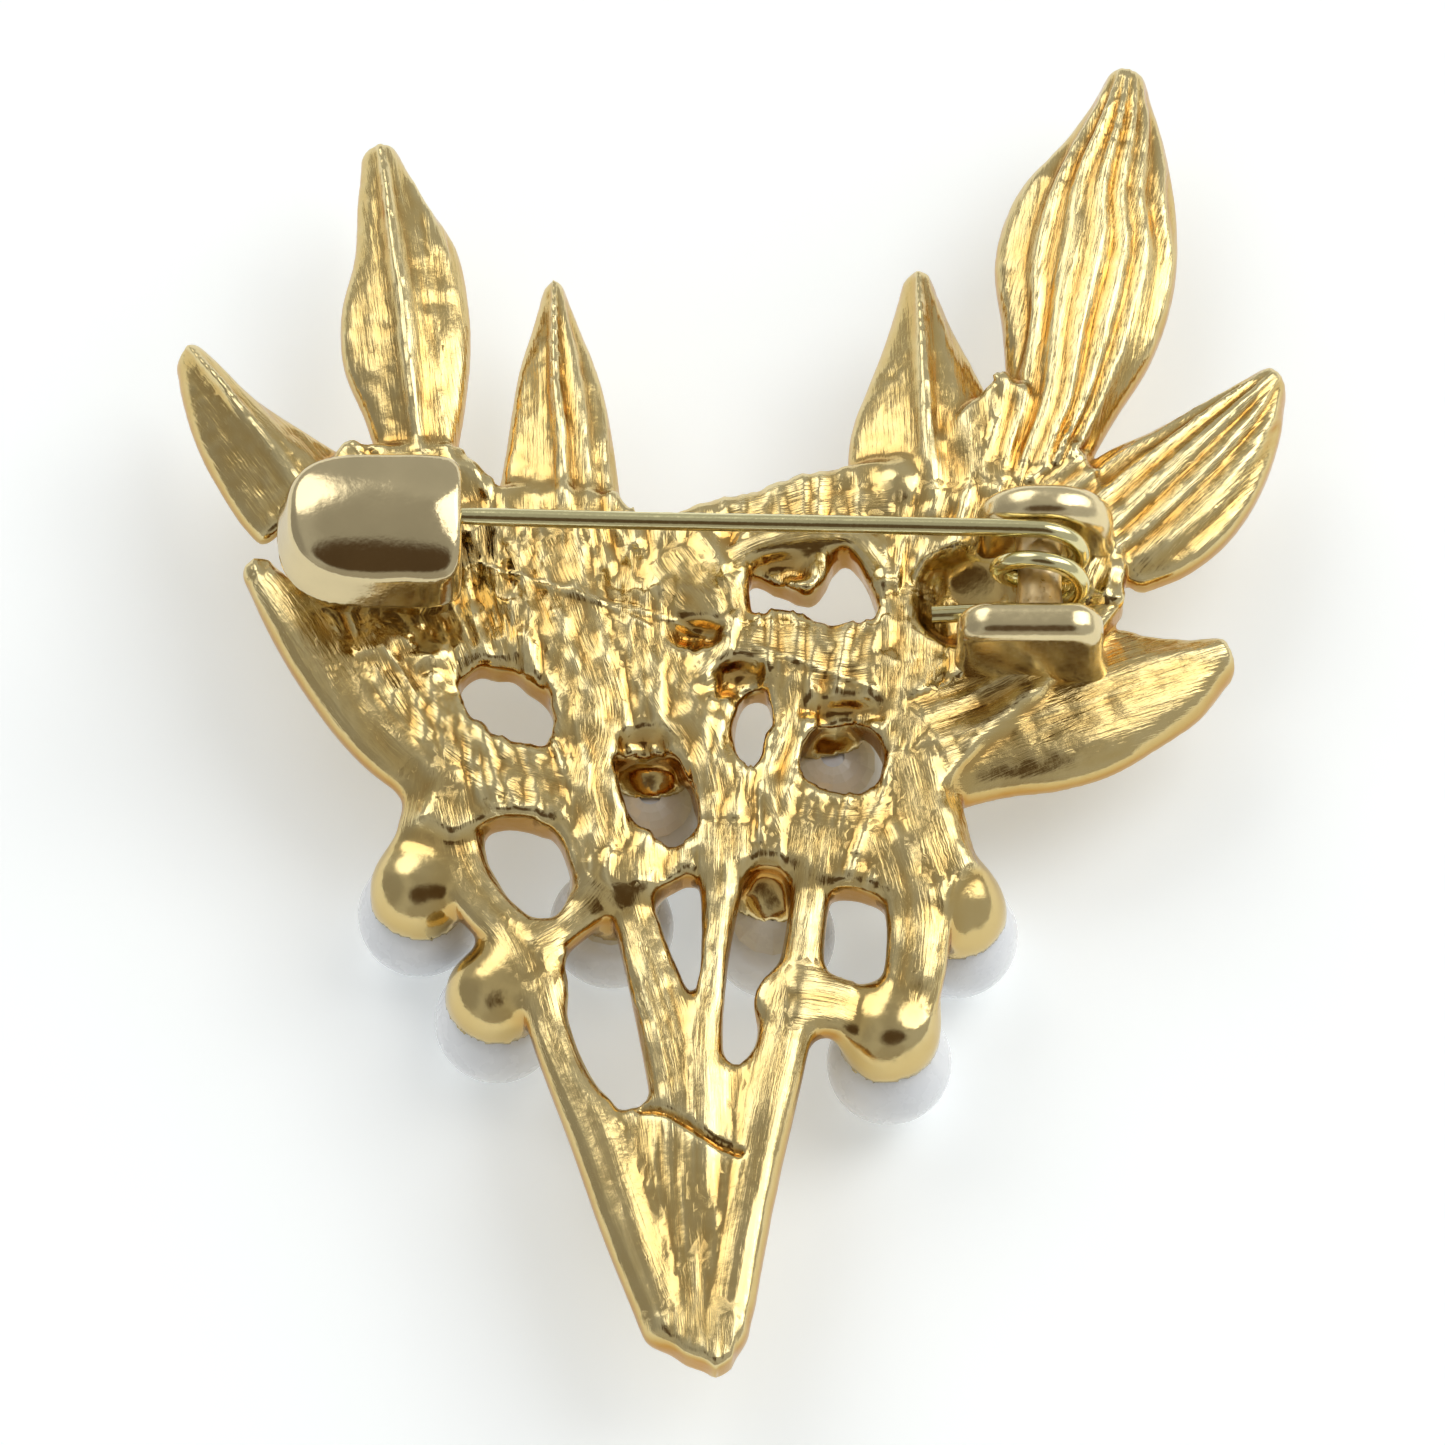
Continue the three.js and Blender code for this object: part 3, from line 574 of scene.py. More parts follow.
def castingField(step):
    grid = Grid(cast["low"], cast["high"], step)
    for back in backs.values():
        p = np.array(back["outline"])
        middle = back["top"] - back["thick"] / 2

        def plate(x, y, z):
            plan = outlineField(back["outline"], x, y) + cast["ragged"] * noise(x * 0.9, y * 0.9, 0, 5)
            lift = (0.2 * noise(x * 0.5, y * 0.3, 0, 8) + 0.08 * noise(x * 1.1, y * 0.6, 0, 9)) * back.get("calm", 1)
            return roundMax(plan, np.abs(z - middle - lift) - back["thick"] / 2, 0.45)

        grid.join(plate, [*p.min(0) - 1, middle - 2.5], [*p.max(0) + 1, middle + 2.5], 0.5)
    for strand in strands.values():
        p = np.array(strand["path"])
        reach = max(strand["wide"]) / 2 + 1
        high = max(strand["high"]) + 1
        low, top = p.min(0) - [reach, reach, high], p.max(0) + [reach, reach, 1]
        grid.join(lambda x, y, z: strandField(strand, x, y, z), low, top, 0.75)
    for leaf in leaves.values():
        ends = np.array([leaf["base"], leaf["tip"]])
        reach = max(leaf["left"] + leaf["right"]) + 1
        low, top = ends.min(0) - [reach, reach, 3.4], ends.max(0) + [reach, reach, 2]
        grid.join(lambda x, y, z: leafField(leaf, x, y, z), low, top, 0.45)
    for hole in holes.values():
        p = np.array(hole["outline"]) if "outline" in hole else np.array([hole["at"]])
        reach = 1.0 if "outline" in hole else max(hole["size"]) + 1
        low, top = [*p.min(0) - reach, 3], [*p.max(0) + reach, 10]

        def opening(x, y, z):
            return holeField(hole, x, y) + cast["ragged"] * noise(x * 1.4, y * 1.4, z * 0.6, 3)

        grid.cut(opening, low, top, hole["soft"])
    for hollow in hollows.values():
        at, size = np.array(hollow["at"]), np.array(hollow["size"])

        def scoop(x, y, z):
            r = np.sqrt(sum(((v - a) / s) ** 2 for v, a, s in zip((x, y, z), at, size)))
            return (r - 1) * size.min()

        grid.cut(scoop, at - size - 0.6, at + size + 0.6, 0.3)
    for x0, y0, z0, r in bosses.values():

        def swelling(x, y, z):
            return lengthOf(x - x0, y - y0, z - z0) - r

        middle = np.array([x0, y0, z0])
        grid.join(swelling, middle - 3, middle + 3, 0.8)
    for n, (x0, y0, leanX, leanY, cup) in enumerate(pearls):
        low, top = [x0 - 4, y0 - 4, 3], [x0 + 4, y0 + 5, 9]
        proud = pearl["proud"] if n in (0, 1, 4, 5) else 0

        def dome(x, y, z):
            flat = np.hypot(x - x0 - leanX, y - y0 - leanY)
            ball = np.sqrt(flat**2 + np.maximum(np.abs(z - pearl["cupHeight"] - proud / 2) - proud / 2, 0) ** 2) - cup
            ball = ball + 0.3 * np.clip((z - 4.6) / 3, 0, 1) + 0.07 * noise(x * 0.6, y * 0.6, z * 0.6, 41 + n)
            return roundMax(ball, pearl["cupFoot"] - 0.5 * leanY - z, 0.15)

        grid.join(dome, low, top, 0.9)

        def seat(x, y, z):
            return lengthOf(x - x0, y - y0, z - pearl["radius"]) - pearl["seat"]

        grid.cut(seat, low, top, 0.05)
    return grid


def groovesAt(v, seed):
    # uneven ridges side by side
    wave = np.cos(2 * np.pi * v + 1.8 * noise(v * 0.55, 0, 0, seed))
    return 0.7 * wave + 0.45 * noise(v * 2.3, 0, 0, seed + 1)


def carved(points, normals):
    # how far each point of the casting stands out, and its grain's directions
    x, y, z = points.T
    raised = np.zeros(len(x))
    flow = np.zeros((len(x), 2))
    # the openwork back: bark that runs from the leaves to the stems
    dx, dy = x + 0.5, y + 46
    angle, far = np.arctan2(dx, dy), np.hypot(dx, dy)
    warp = 0.6 * noise(x * 0.35, y * 0.2, 0, 21)
    across = angle * 38 + warp
    flow[:, 0], flow[:, 1] = far, across
    bark = 0
    for high, wave, run, seed in cast["bark"]:
        bark = bark + high * (0.5 - np.abs(noise(across * wave, far * run, 0, seed)))
    calm = np.clip((y + 19) / 3, 0.25, 1)
    bark = bark * (0.05 + 0.95 * calm)
    lumps = calm * (0.12 * noise(x * 0.9, y * 0.8, 0, 33) + 0.05 * noise(x * 2.1, y * 1.7, 0, 36))
    rough = np.exp(-(((x + 15.2) / 3.2) ** 2 + ((y - 2.0) / 2.6) ** 2))
    nuggets = 0.26 * (0.4 - np.abs(noise(x * 1.7, y * 1.7, z, 34))) * rough
    grit = np.exp(-(((x + 0.2) / 1.5) ** 2 + ((y + 7.6) / 2.4) ** 2))
    nuggets = nuggets + 0.24 * (0.4 - np.abs(noise(x * 2.6, y * 2.6, z, 37))) * grit
    raised += bark + lumps + nuggets
    region = np.zeros(len(x), int)
    # how strongly the fine lines are drawn: less on the smooth wedge and on rims that face down the piece
    lined = np.clip(1 + (y + 19) / 5, 0.3, 1)
    for n, strand in enumerate(strands.values()):
        share, beside = strandPlace(strand, x, y)
        wide = np.maximum(curveAt(strand["wide"], share), 0.2) / 2
        top = curveAt([p[2] for p in strand["path"]], share)
        near = np.abs(beside) / wide - 1 + 0.4 * np.maximum(np.abs(z - top + 0.8) - 1.2, 0)
        mine = near < 0.1
        length = np.linalg.norm(np.diff(np.array(strand["path"])[:, :2], axis=0), axis=1).sum()
        tails = np.clip(np.minimum(share, 1 - share) / 0.07, 0, 1)
        weight = np.clip((0.25 - near) / 0.4, 0, 1) * (0.35 if "rise" in strand else 0.9) * (0.25 + 0.75 * tails)
        at = share * length
        lines = 0.10 * noise(beside * 1.9, at * 0.12, 0, 50 + n) + 0.05 * noise(beside * 4.2, at * 0.3, 0, 80 + n)
        smooth = strand.get("polish", 0)
        raised = raised * (1 - weight) + weight * ((lines * tails + 0.6 * lumps) * (1 - smooth))
        take = mine & (weight > 0.3) & (tails > 0.4)
        region[take] = n + 1
        flow[take] = np.stack([at, beside + 7 * n], 1)[take]
    for n, leaf in enumerate(leaves.values()):
        along, side, _, wide, length = leafPlace(leaf, x, y)
        u = side / wide
        inside = (np.abs(u) < 1.12) & (along > -0.6) & (along < length + 0.8)
        weight = np.where(inside, np.clip((along + 0.6) / 1.8, 0, 1), 0)
        fan = u * leaf["grooves"] * (0.72 + 0.28 * wide / wide.max())
        wander = 0.35 * noise(along * 0.25, side * 0.3, 0, 100 + n)
        fade = np.clip((1.05 - np.abs(u)) / 0.25, 0, 1) * np.clip((length - along) / 2.5, 0.15, 1)
        if "even" in leaf:
            wander, fan = 0, fan * 1.25
        ridges = leaf["depth"] * groovesAt(fan * 0.42 + wander, 110 + n) * fade
        if "even" not in leaf:
            ridges = ridges * (0.85 + 0.6 * noise(fan * 0.7, along * 0.14, 0, 180 + n))
        calm = leaf.get("calmSide", 0) * np.clip((u - 0.05) / 0.15, 0, 1)
        ridges = ridges * (1 - 0.85 * calm) - 0.16 * calm * np.clip(1 - ((u - 0.5) / 0.45) ** 2, 0, 1)
        ridges += leaf.get("crest", 0) * np.exp(-(((u + 0.02) / 0.11) ** 2)) * fade
        fine = 0.035 * (1 - 0.7 * calm) * noise(side * 4.5, along * 0.35, 0, 130 + n)
        beat = (0.03 - 0.02 * calm) * noise(side * 1.5, along * 1.6, 0, 140 + n)
        beat = beat + 0.028 * calm * noise(side * 2.6, along * 2.2, 0, 160 + n)
        raised = raised * (1 - weight) + weight * (ridges + fine + beat)
        lined = np.where(inside & (weight > 0.4), 1 - 0.45 * calm, lined)
        take = inside & (weight > 0.4)
        region[take] = 100 + n
        flow[take] = np.stack([along, side + 40 + 9 * n], 1)[take]
    facing = np.clip(normals[:, 2] * 1.6 + 0.1, 0, 1)
    cupsNear = np.zeros(len(x))
    for x0, y0, leanX, leanY, cup in pearls:
        d = lengthOf(x - x0 - leanX, y - y0 - leanY, z - pearl["cupHeight"])
        cupsNear = np.maximum(cupsNear, np.clip((cup + 0.95 - d) / 0.45, 0, 1))
    for x0, y0, z0, r in bosses.values():
        d = lengthOf(x - x0, y - y0, z - z0)
        cupsNear = np.maximum(cupsNear, 0.6 * np.clip((r + 0.5 - d) / 0.3, 0, 1))
    under = 0.35 * np.clip(-normals[:, 2], 0, 1)
    raised = raised * (facing + under) * (1 - cupsNear) * np.clip(1.25 + 1.7 * normals[:, 1], 0.2, 1)
    for scratch in scratches.values():
        share, beside = strandPlace(scratch, x, y)
        ends = np.clip(np.minimum(share, 1 - share) / 0.06, 0, 1)
        upward = np.clip(normals[:, 2] * 2 - 0.6, 0, 1) * (z > 7)
        raised += scratch["rise"] * np.exp(-((beside / scratch["wide"]) ** 2)) * ends * upward
    lined = lined * (1 - cupsNear) * np.clip(1.6 + 2.4 * normals[:, 1], 0.1, 1)
    return raised, flow, region, cupsNear, lined


def makeCasting(material):
    grid = castingField(cast["step"])
    points, quads = netOf(grid)
    points = relaxed(points, quads, 2, 0.4)
    normals = normalsOf(points, quads)
    raised, flow, region, cupsNear, lined = carved(points, normals)
    points = points + normals * raised[:, None]
    normals = normalsOf(points, quads)
    # painted shade: hollow places are where a vertex lies below its neighbours' mean, and they and the steep walls get
    # a darker colour that stands in for their shade; ridges get a lighter one
    wide = relaxed(points, quads, 12, 0.6)
    paintedShade = ((wide - points) * normals).sum(1) / cast["bendScale"]
    steep = np.clip((0.6 - normals[:, 2]) / 0.45, 0, 1) * np.clip((normals[:, 2] + 0.5) / 0.3, 0, 1)
    paintedShade = paintedShade + cast["wallShade"] * steep * (1 - 0.8 * cupsNear)
    seam = np.zeros(len(points))
    mixed = region[quads].max(1) != region[quads].min(1)
    seam[quads[mixed].ravel()] = 1
    seam = relaxed(seam[:, None], quads, 2, 0.5)[:, 0]
    obj = meshObject("casting", points, quads, material)
    # the hollow attribute carries this painted shade into the gold's base colour
    setAttribute(obj, "hollow", np.clip(paintedShade, -1, 1))
    setAttribute(obj, "grained", np.clip(1 - 1.8 * seam, 0, 1) * lined)
    setFlow(obj, flow)
    print("casting", thinned(obj, cast["mostTriangles"]), "triangles")
    return obj


# the catch, the hinge and the pin

hood = {
    "middle": [-16.1, 7.4], "left": 4.6, "right": 3.75, "across": 3.4, "top": 13.6,
    "wall": 0.85, "roof": 0.85, "foot": 7.4, "step": 0.11, "narrow": 1.3, "flare": 0.9, "under": 0.75, "inner": 0.35,
}


def smoothPiece(name, grid, rounds, material):
    # the surface of a grid's field as a mesh
    points, quads = netOf(grid)
    return meshObject(name, relaxed(points, quads, rounds, 0.5), quads, material)


def makeHood(material):
    cx, cy = hood["middle"]
    grid = Grid([cx - 5.2, cy - 4, 7], [cx + 4.4, cy + 4, 14.2], hood["step"] * (1))

    def plan(x, y, z, inset):
        narrow = hood["narrow"] * np.clip((11 - z) / 4, 0, 1) ** 1.3
        flare = hood["flare"] * np.clip((13.2 - z) / 2.8, 0, 1)
        under = hood["under"] * np.clip((10.45 - z) / 0.25, 0, 1)
        left = (cx - x) / (hood["left"] - hood["inner"] + flare * 0.8 - narrow - inset)
        u = np.where(x < cx, left, (x - cx) / (hood["right"] - inset))
        v = np.abs(y - cy) / (hood["across"] - hood["inner"] + (flare - under) * (y < cy) - inset)
        power = np.where(x < cx, 2.7, 7.0)
        return ((u**power + v**power) ** (1 / power) - 1) * 3.3

    def top(x, y):
        v, u = np.abs(y - cy) / hood["across"], (x - cx) / 4.4
        return hood["top"] - 1.15 * v**2.3 - 0.55 * np.abs(u) ** 4 + 0.03 * noise(x * 0.8, y * 0.8, 0, 301)

    def outside(x, y, z):
        return roundMax(plan(x, y, z, 0), np.maximum(z - top(x, y), hood["foot"] - z), 0.24)

    def room(x, y, z):
        inner = plan(x, y, z, hood["wall"])
        mouth = np.maximum(cx - x, np.abs(y - cy - 2) - 4.2 + hood["wall"])
        side = np.maximum(cy - y, np.abs(x + 15.2) - 3.7)
        hollow = np.minimum(np.minimum(inner, mouth), side)
        return roundMax(hollow, np.maximum(z - top(x, y) + hood["roof"], 7.9 - z), 0.3)

    grid.join(outside, *grid.ends(), 0.01)
    grid.cut(room, *grid.ends(), 0.08)
    obj = smoothPiece("hood", grid, 4, material)
    print("hood", len(obj.data.polygons) * 2, "triangles")
    return obj


ears = {
    "upper": {"at": [14.75, 8.0], "half": 3.2, "thick": 1.8, "top": 13.1, "corner": 2.9},
    "lower": {"at": [14.05, 1.95], "half": 3.4, "thick": 1.9, "top": 13.1, "corner": 1.6},
}


def makeEar(name, material):
    ear = ears[name]
    cx, cy = ear["at"]
    grid = Grid([cx - 4.6, cy - 1.6, 6.8], [cx + 4.6, cy + 1.6, 13.7], 0.1)

    def block(x, y, z):
        half = ear["half"] + 0.35 * np.clip((9.5 - z) / 2.5, 0, 1) ** 1.5
        sides = roundMax(np.abs(x - cx) - half, z - ear["top"], ear["corner"])
        return roundMax(np.maximum(sides, 7.1 - z), np.abs(y - cy) - ear["thick"] / 2, 0.75)

    grid.join(block, *grid.ends(), 0.01)
    return smoothPiece("ear_" + name, grid, 3, material)


peg = {
    "at": [14.5, 10.7], "sides": 48,
    "profile": [[2.7, 1.45], [3.0, 1.4], [3.4, 1.12], [4.2, 1.02], [6.2, 1.02], [7.4, 1.15]],
}


def makePeg(material):
    x0, z0 = peg["at"]
    rings = [[peg["profile"][0][0], 0.0]] + peg["profile"] + [[peg["profile"][-1][0], 0.0]]
    points, faces = [], []
    n = peg["sides"]
    for y, r in rings[1:-1]:
        for i in range(n):
            a = 2 * math.pi * i / n
            points.append([x0 + r * math.cos(a), y, z0 + r * math.sin(a)])
    points += [[x0, rings[0][0], z0], [x0, rings[-1][0], z0]]
    for k in range(len(rings) - 3):
        for i in range(n):
            a, b = k * n + i, k * n + (i + 1) % n
            faces.append([a, a + n, b + n, b])
    for i in range(n):
        j = (i + 1) % n
        faces.append([len(points) - 2, i, j])
        faces.append([len(points) - 1, len(points) - 2 - n + j, len(points) - 2 - n + i])
    return meshObject("peg", points, faces, material)


wire = {
    "radius": 0.425, "point": [-17.6, 7.55, 12.28], "coilAt": [14.5, 10.7], "coilRadius": 1.93,
    "coilY": 6.6, "pitch": 1.6, "turns": 1.5, "tail": 5.0, "sides": 24,
}


def wirePath():
    x0, z0 = wire["coilAt"]
    start, end = np.array(wire["point"]), np.array([x0, wire["coilY"], z0 + wire["coilRadius"]])
    points, radii = [], []
    for t in np.linspace(0, 0.98, 60):
        p = start + (end - start) * t
        p[2] -= 0.22 * (1 - t) * math.sin(math.pi * t) ** 2
        points.append(p)
        radii.append(min(1, 0.12 + 0.88 * math.sqrt(min(1, t / 0.22))))
    for i in range(1, 131):
        turn = wire["turns"] * i / 130
        a = math.pi / 2 - 2 * math.pi * turn
        r = wire["coilRadius"]
        points.append(np.array([x0 + r * math.cos(a), wire["coilY"] - wire["pitch"] * turn, z0 + r * math.sin(a)]))
        radii.append(1)
    last = points[-1]
    for reach in np.linspace(0.6, wire["tail"], 10):
        points.append(last + np.array([-reach, -0.05 * reach, 0]))
        radii.append(1)
    return np.array(points), radii


def put(tree, socket, value):
    # links a socket, or sets it
    if isinstance(value, bpy.types.NodeSocket):
        tree.links.new(value, socket)
    else:
        socket.default_value = value


def wired(tree, kind, sockets, **settings):
    # a new node with its settings and inputs
    node = tree.nodes.new(kind)
    for name, value in settings.items():
        setattr(node, name, value)
    for key, value in sockets.items():
        put(tree, node.inputs[key], value)
    return node


def newTree(name, sockets):
    # a geometry tree, its inputs' identifiers, and its two ends
    tree = bpy.data.node_groups.new(name, "GeometryNodeTree")
    face = tree.interface
    face.new_socket("Geometry", in_out="INPUT", socket_type="NodeSocketGeometry")
    found = [face.new_socket(label, in_out="INPUT", socket_type=kind).identifier for label, kind in sockets]
    face.new_socket("Geometry", in_out="OUTPUT", socket_type="NodeSocketGeometry")
    return tree, found, tree.nodes.new("NodeGroupInput").outputs, tree.nodes.new("NodeGroupOutput").inputs


def painted(tree, made, out, material):
    # the end of a tree: real geometry with its material
    real = wired(tree, "GeometryNodeRealizeInstances", {"Geometry": made})
    paint = wired(tree, "GeometryNodeSetMaterial", {"Material": material, "Geometry": real.outputs["Geometry"]})
    tree.links.new(paint.outputs["Geometry"], out["Geometry"])


def barTree(material):
    # turns a curve into a round bar
    sockets = [("Bar radius", "NodeSocketFloat"), ("Sides", "NodeSocketInt")]
    tree, found, given, out = newTree("round bar", sockets)
    sizes = {"Radius": given["Bar radius"], "Resolution": given["Sides"]}
    ring = wired(tree, "GeometryNodeCurvePrimitiveCircle", sizes)
    curves = {"Fill Caps": True, "Curve": given["Geometry"], "Profile Curve": ring.outputs["Curve"]}
    bar = wired(tree, "GeometryNodeCurveToMesh", curves)
    if "Scale" in bar.inputs:
        thin = tree.nodes.new("GeometryNodeInputRadius")
        tree.links.new(thin.outputs["Radius"], bar.inputs["Scale"])
    painted(tree, bar.outputs["Mesh"], out, material)
    return tree, found


def finished(source, name, tree, values, material):
    # runs a node tree on an object and keeps the plain mesh
    run = source.modifiers.new("build", "NODES")
    run.node_group = tree
    for identifier, value in values.items():
        run[identifier] = value
    scene.view_layers[0].update()
    done = bpy.data.meshes.new_from_object(source.evaluated_get(bpy.context.evaluated_depsgraph_get()))
    bpy.data.objects.remove(source)
    done.polygons.foreach_set("use_smooth", [True] * len(done.polygons))
    done.materials.clear()
    done.materials.append(material)
    done.name = name
    obj = bpy.data.objects.new(name, done)
    scene.collection.objects.link(obj)
    return obj


def makeWire(material):
    points, radii = wirePath()
    curve = bpy.data.curves.new("wire path", "CURVE")
    curve.dimensions = "3D"
    curve.twist_mode = "MINIMUM"
    spline = curve.splines.new("POLY")
    spline.points.add(len(points) - 1)
    for target, p, r in zip(spline.points, points, radii):
        target.co = (*((p + shift) * mm), 1)
        target.radius = r
    source = bpy.data.objects.new("wire path", curve)
    scene.collection.objects.link(source)
    tree, found = barTree(material)
    return finished(source, "pin", tree, dict(zip(found, (wire["radius"] * mm, wire["sides"]))), material)


def pearlTree(material):
    # one ball at each point
    tree, found, given, out = newTree("pearls", [("Pearl radius", "NodeSocketFloat")])
    sizes = {"Segments": pearl["segments"], "Rings": pearl["rings"], "Radius": given["Pearl radius"]}
    ball = wired(tree, "GeometryNodeMeshUVSphere", sizes)
    places = {"Points": given["Geometry"], "Instance": ball.outputs["Mesh"]}
    spread = wired(tree, "GeometryNodeInstanceOnPoints", places)
    painted(tree, spread.outputs["Instances"], out, material)
    return tree, found


def makePearls(material):
    mesh = bpy.data.meshes.new("pearl places")
    places = [(np.array([x, y, pearl["radius"]]) + shift) * mm for x, y, *_ in pearls]
    mesh.from_pydata([tuple(p) for p in places], [], [])
    source = bpy.data.objects.new("pearl places", mesh)
    scene.collection.objects.link(source)
    tree, found = pearlTree(material)
    return finished(source, "pearls", tree, {found[0]: pearl["radius"] * mm}, material)


# materials


def newMaterial(name, metallic=0.0):
    material = bpy.data.materials.new(name)
    material.use_nodes = True
    tree = material.node_tree
    shader = tree.nodes["Principled BSDF"]
    shader.inputs["Metallic"].default_value = metallic
    return material, tree, shader


def makeGrain():
    # cloudy tone and fine pitting, shared by every finish
    group = bpy.data.node_groups.new("plated grain", "ShaderNodeTree")
    face = group.interface
    face.new_socket("Vector", in_out="INPUT", socket_type="NodeSocketVector")
    for name in ("Cloud scale", "Pit scale", "Smoothest", "Roughest"):
        face.new_socket(name, in_out="INPUT", socket_type="NodeSocketFloat")
    for name in ("Cloud", "Pits", "Roughness"):
        face.new_socket(name, in_out="OUTPUT", socket_type="NodeSocketFloat")
    given, out = group.nodes.new("NodeGroupInput").outputs, group.nodes.new("NodeGroupOutput").inputs
    for name, scale in (("Cloud", "Cloud scale"), ("Pits", "Pit scale")):
        speck = wired(group, "ShaderNodeTexNoise", {"Detail": 4, "Vector": given["Vector"], "Scale": given[scale]})
        group.links.new(speck.outputs["Fac"], out[name])
    # the pits, which come last, also set the roughness
    span = wired(group, "ShaderNodeMapRange", {
        "From Min": 0.3, "From Max": 0.7, "Value": speck.outputs["Fac"],
        "To Min": given["Smoothest"], "To Max": given["Roughest"],
    })
    group.links.new(span.outputs["Result"], out["Roughness"])
    return group


def grained(tree, shader, group, cloud, pit, smoothest, roughest):
    place = tree.nodes.new("ShaderNodeTexCoord")
    grain = wired(tree, "ShaderNodeGroup", {
        "Vector": place.outputs["Object"], "Cloud scale": cloud, "Pit scale": pit,
        "Smoothest": smoothest, "Roughest": roughest,
    }, node_tree=group)
    tree.links.new(grain.outputs["Roughness"], shader.inputs["Roughness"])
    return grain


def ramp(tree, source, stops):
    tint = wired(tree, "ShaderNodeValToRGB", {"Fac": source})
    while len(tint.color_ramp.elements) < len(stops):
        tint.color_ramp.elements.new(0.5)
    for stop, (place, colour) in zip(tint.color_ramp.elements, stops):
        stop.position = place
        stop.color = (*colour, 1)
    return tint.outputs["Color"]


def bumped(tree, height, depth, strength, before=None):
    sockets = {"Strength": strength, "Distance": depth, "Height": height}
    if before:
        sockets["Normal"] = before
    return wired(tree, "ShaderNodeBump", sockets).outputs["Normal"]


# base colours of painted shade: proud for ridges, flat for open faces, and the darkest for hollows and steep walls
castGold = {
    "proud": (0.72, 0.585, 0.30), "flat": (0.63, 0.455, 0.175), "shaded": (0.53, 0.27, 0.05),
    "smoothest": 0.08, "roughest": 0.21, "lineDepth": 0.00010, "pitDepth": 0.00004,
    "cloudScale": 260, "pitScale": 2600, "stain": 0.24, "lineStretch": (0.5, 7.0, 1),
}


def makeGold(group):
    material, tree, shader = newMaterial("gold plate", 1.0)
    scales, ends = (castGold["cloudScale"], castGold["pitScale"]), (castGold["smoothest"], castGold["roughest"])
    grain = grained(tree, shader, group, *scales, *ends)
    # painted shade: the hollow attribute, plus the random stain, picks the base colour, lighter on ridges and darker in
    # hollows and on walls
    hollow = wired(tree, "ShaderNodeAttribute", {}, attribute_name="hollow")
    lift = wired(tree, "ShaderNodeMapRange", {"From Min": -1, "Value": hollow.outputs["Fac"]})
    tone = {0: grain.outputs["Cloud"], 1: castGold["stain"], 2: -castGold["stain"] / 2}
    stain = wired(tree, "ShaderNodeMath", tone, operation="MULTIPLY_ADD")
    total = wired(tree, "ShaderNodeMath", {0: lift.outputs["Result"], 1: stain.outputs["Value"]})
    stops = [(0.30, castGold["proud"]), (0.52, castGold["flat"]), (0.82, castGold["shaded"])]
    tree.links.new(ramp(tree, total.outputs["Value"], stops), shader.inputs["Base Color"])
    flow = wired(tree, "ShaderNodeUVMap", {}, uv_map="flow")
    stretch = wired(tree, "ShaderNodeMapping", {"Scale": castGold["lineStretch"], "Vector": flow.outputs["UV"]})
    lines = wired(tree, "ShaderNodeTexNoise", {"Scale": 1.0, "Detail": 4, "Vector": stretch.outputs["Vector"]})
    mask = wired(tree, "ShaderNodeAttribute", {}, attribute_name="grained")
    drawn = wired(tree, "ShaderNodeMath", {0: lines.outputs["Fac"], 1: mask.outputs["Fac"]}, operation="MULTIPLY")
    first = bumped(tree, drawn.outputs["Value"], castGold["lineDepth"], 0.5)
    last = bumped(tree, grain.outputs["Pits"], castGold["pitDepth"], 0.3, first)
    tree.links.new(last, shader.inputs["Normal"])
    return material


def makeSmoothGold(name, group, colour, rough):
    material, tree, shader = newMaterial(name, 1.0)
    grain = grained(tree, shader, group, 420, 5000, rough * 0.8, rough * 1.3)
    stops = [(0.3, tuple(c * 0.9 for c in colour)), (0.7, colour)]
    tree.links.new(ramp(tree, grain.outputs["Cloud"], stops), shader.inputs["Base Color"])
    wavy = bumped(tree, grain.outputs["Cloud"], 0.00016, 0.3)
    tree.links.new(bumped(tree, grain.outputs["Pits"], 0.00003, 0.15, wavy), shader.inputs["Normal"])
    return material


def makeNacre(name, group, dark, light):
    material, tree, shader = newMaterial(name)
    grain = grained(tree, shader, group, 300, 900, 0.24, 0.30)
    tree.links.new(ramp(tree, grain.outputs["Cloud"], [(0.3, dark), (0.7, light)]), shader.inputs["Base Color"])
    shader.inputs["Coat Weight"].default_value = 0.6
    shader.inputs["Coat Roughness"].default_value = 0.12
    return material


# camera, floor and light


stage = {
    "lens": 800, "sensor": 36, "rise": 66, "target": [-0.47, -0.66, 7.0], "away": 0.0672,
    "floor": (0.95, 0.975, 0.975, 1), "glow": (0.95, 0.98, 0.98, 1), "glowStrength": 0.25, "rough": 0.7, "reach": 3,
}


def makeStage():
    camera = bpy.data.cameras.new("camera")
    camera.lens, camera.sensor_width = stage["lens"], stage["sensor"]
    camera.clip_start, camera.clip_end = 0.01, 5
    eye = bpy.data.objects.new("camera", camera)
    scene.collection.objects.link(eye)
    rise = math.radians(stage["rise"])
    target = np.array(stage["target"]) * mm
    away = stage["away"] * camera.lens / camera.sensor_width
    eye.location = target + away * np.array([0, -math.cos(rise), math.sin(rise)])
    eye.rotation_euler = (math.radians(90) - rise, 0, 0)
    scene.camera = eye
    floorMaterial, _, shader = newMaterial("pale floor")
    looks = {"Base Color": "floor", "Emission Color": "glow", "Emission Strength": "glowStrength", "Roughness": "rough"}
    for socket, key in looks.items():
        shader.inputs[socket].default_value = stage[key]
    mesh = bpy.data.meshes.new("floor")
    far = stage["reach"]
    mesh.from_pydata([(-far, -far, 0), (far, -far, 0), (far, far, 0), (-far, far, 0)], [], [(0, 1, 2, 3)])
    mesh.materials.append(floorMaterial)
    floor = bpy.data.objects.new("floor", mesh)
    floor.location.z = -0.00001
    scene.collection.objects.link(floor)


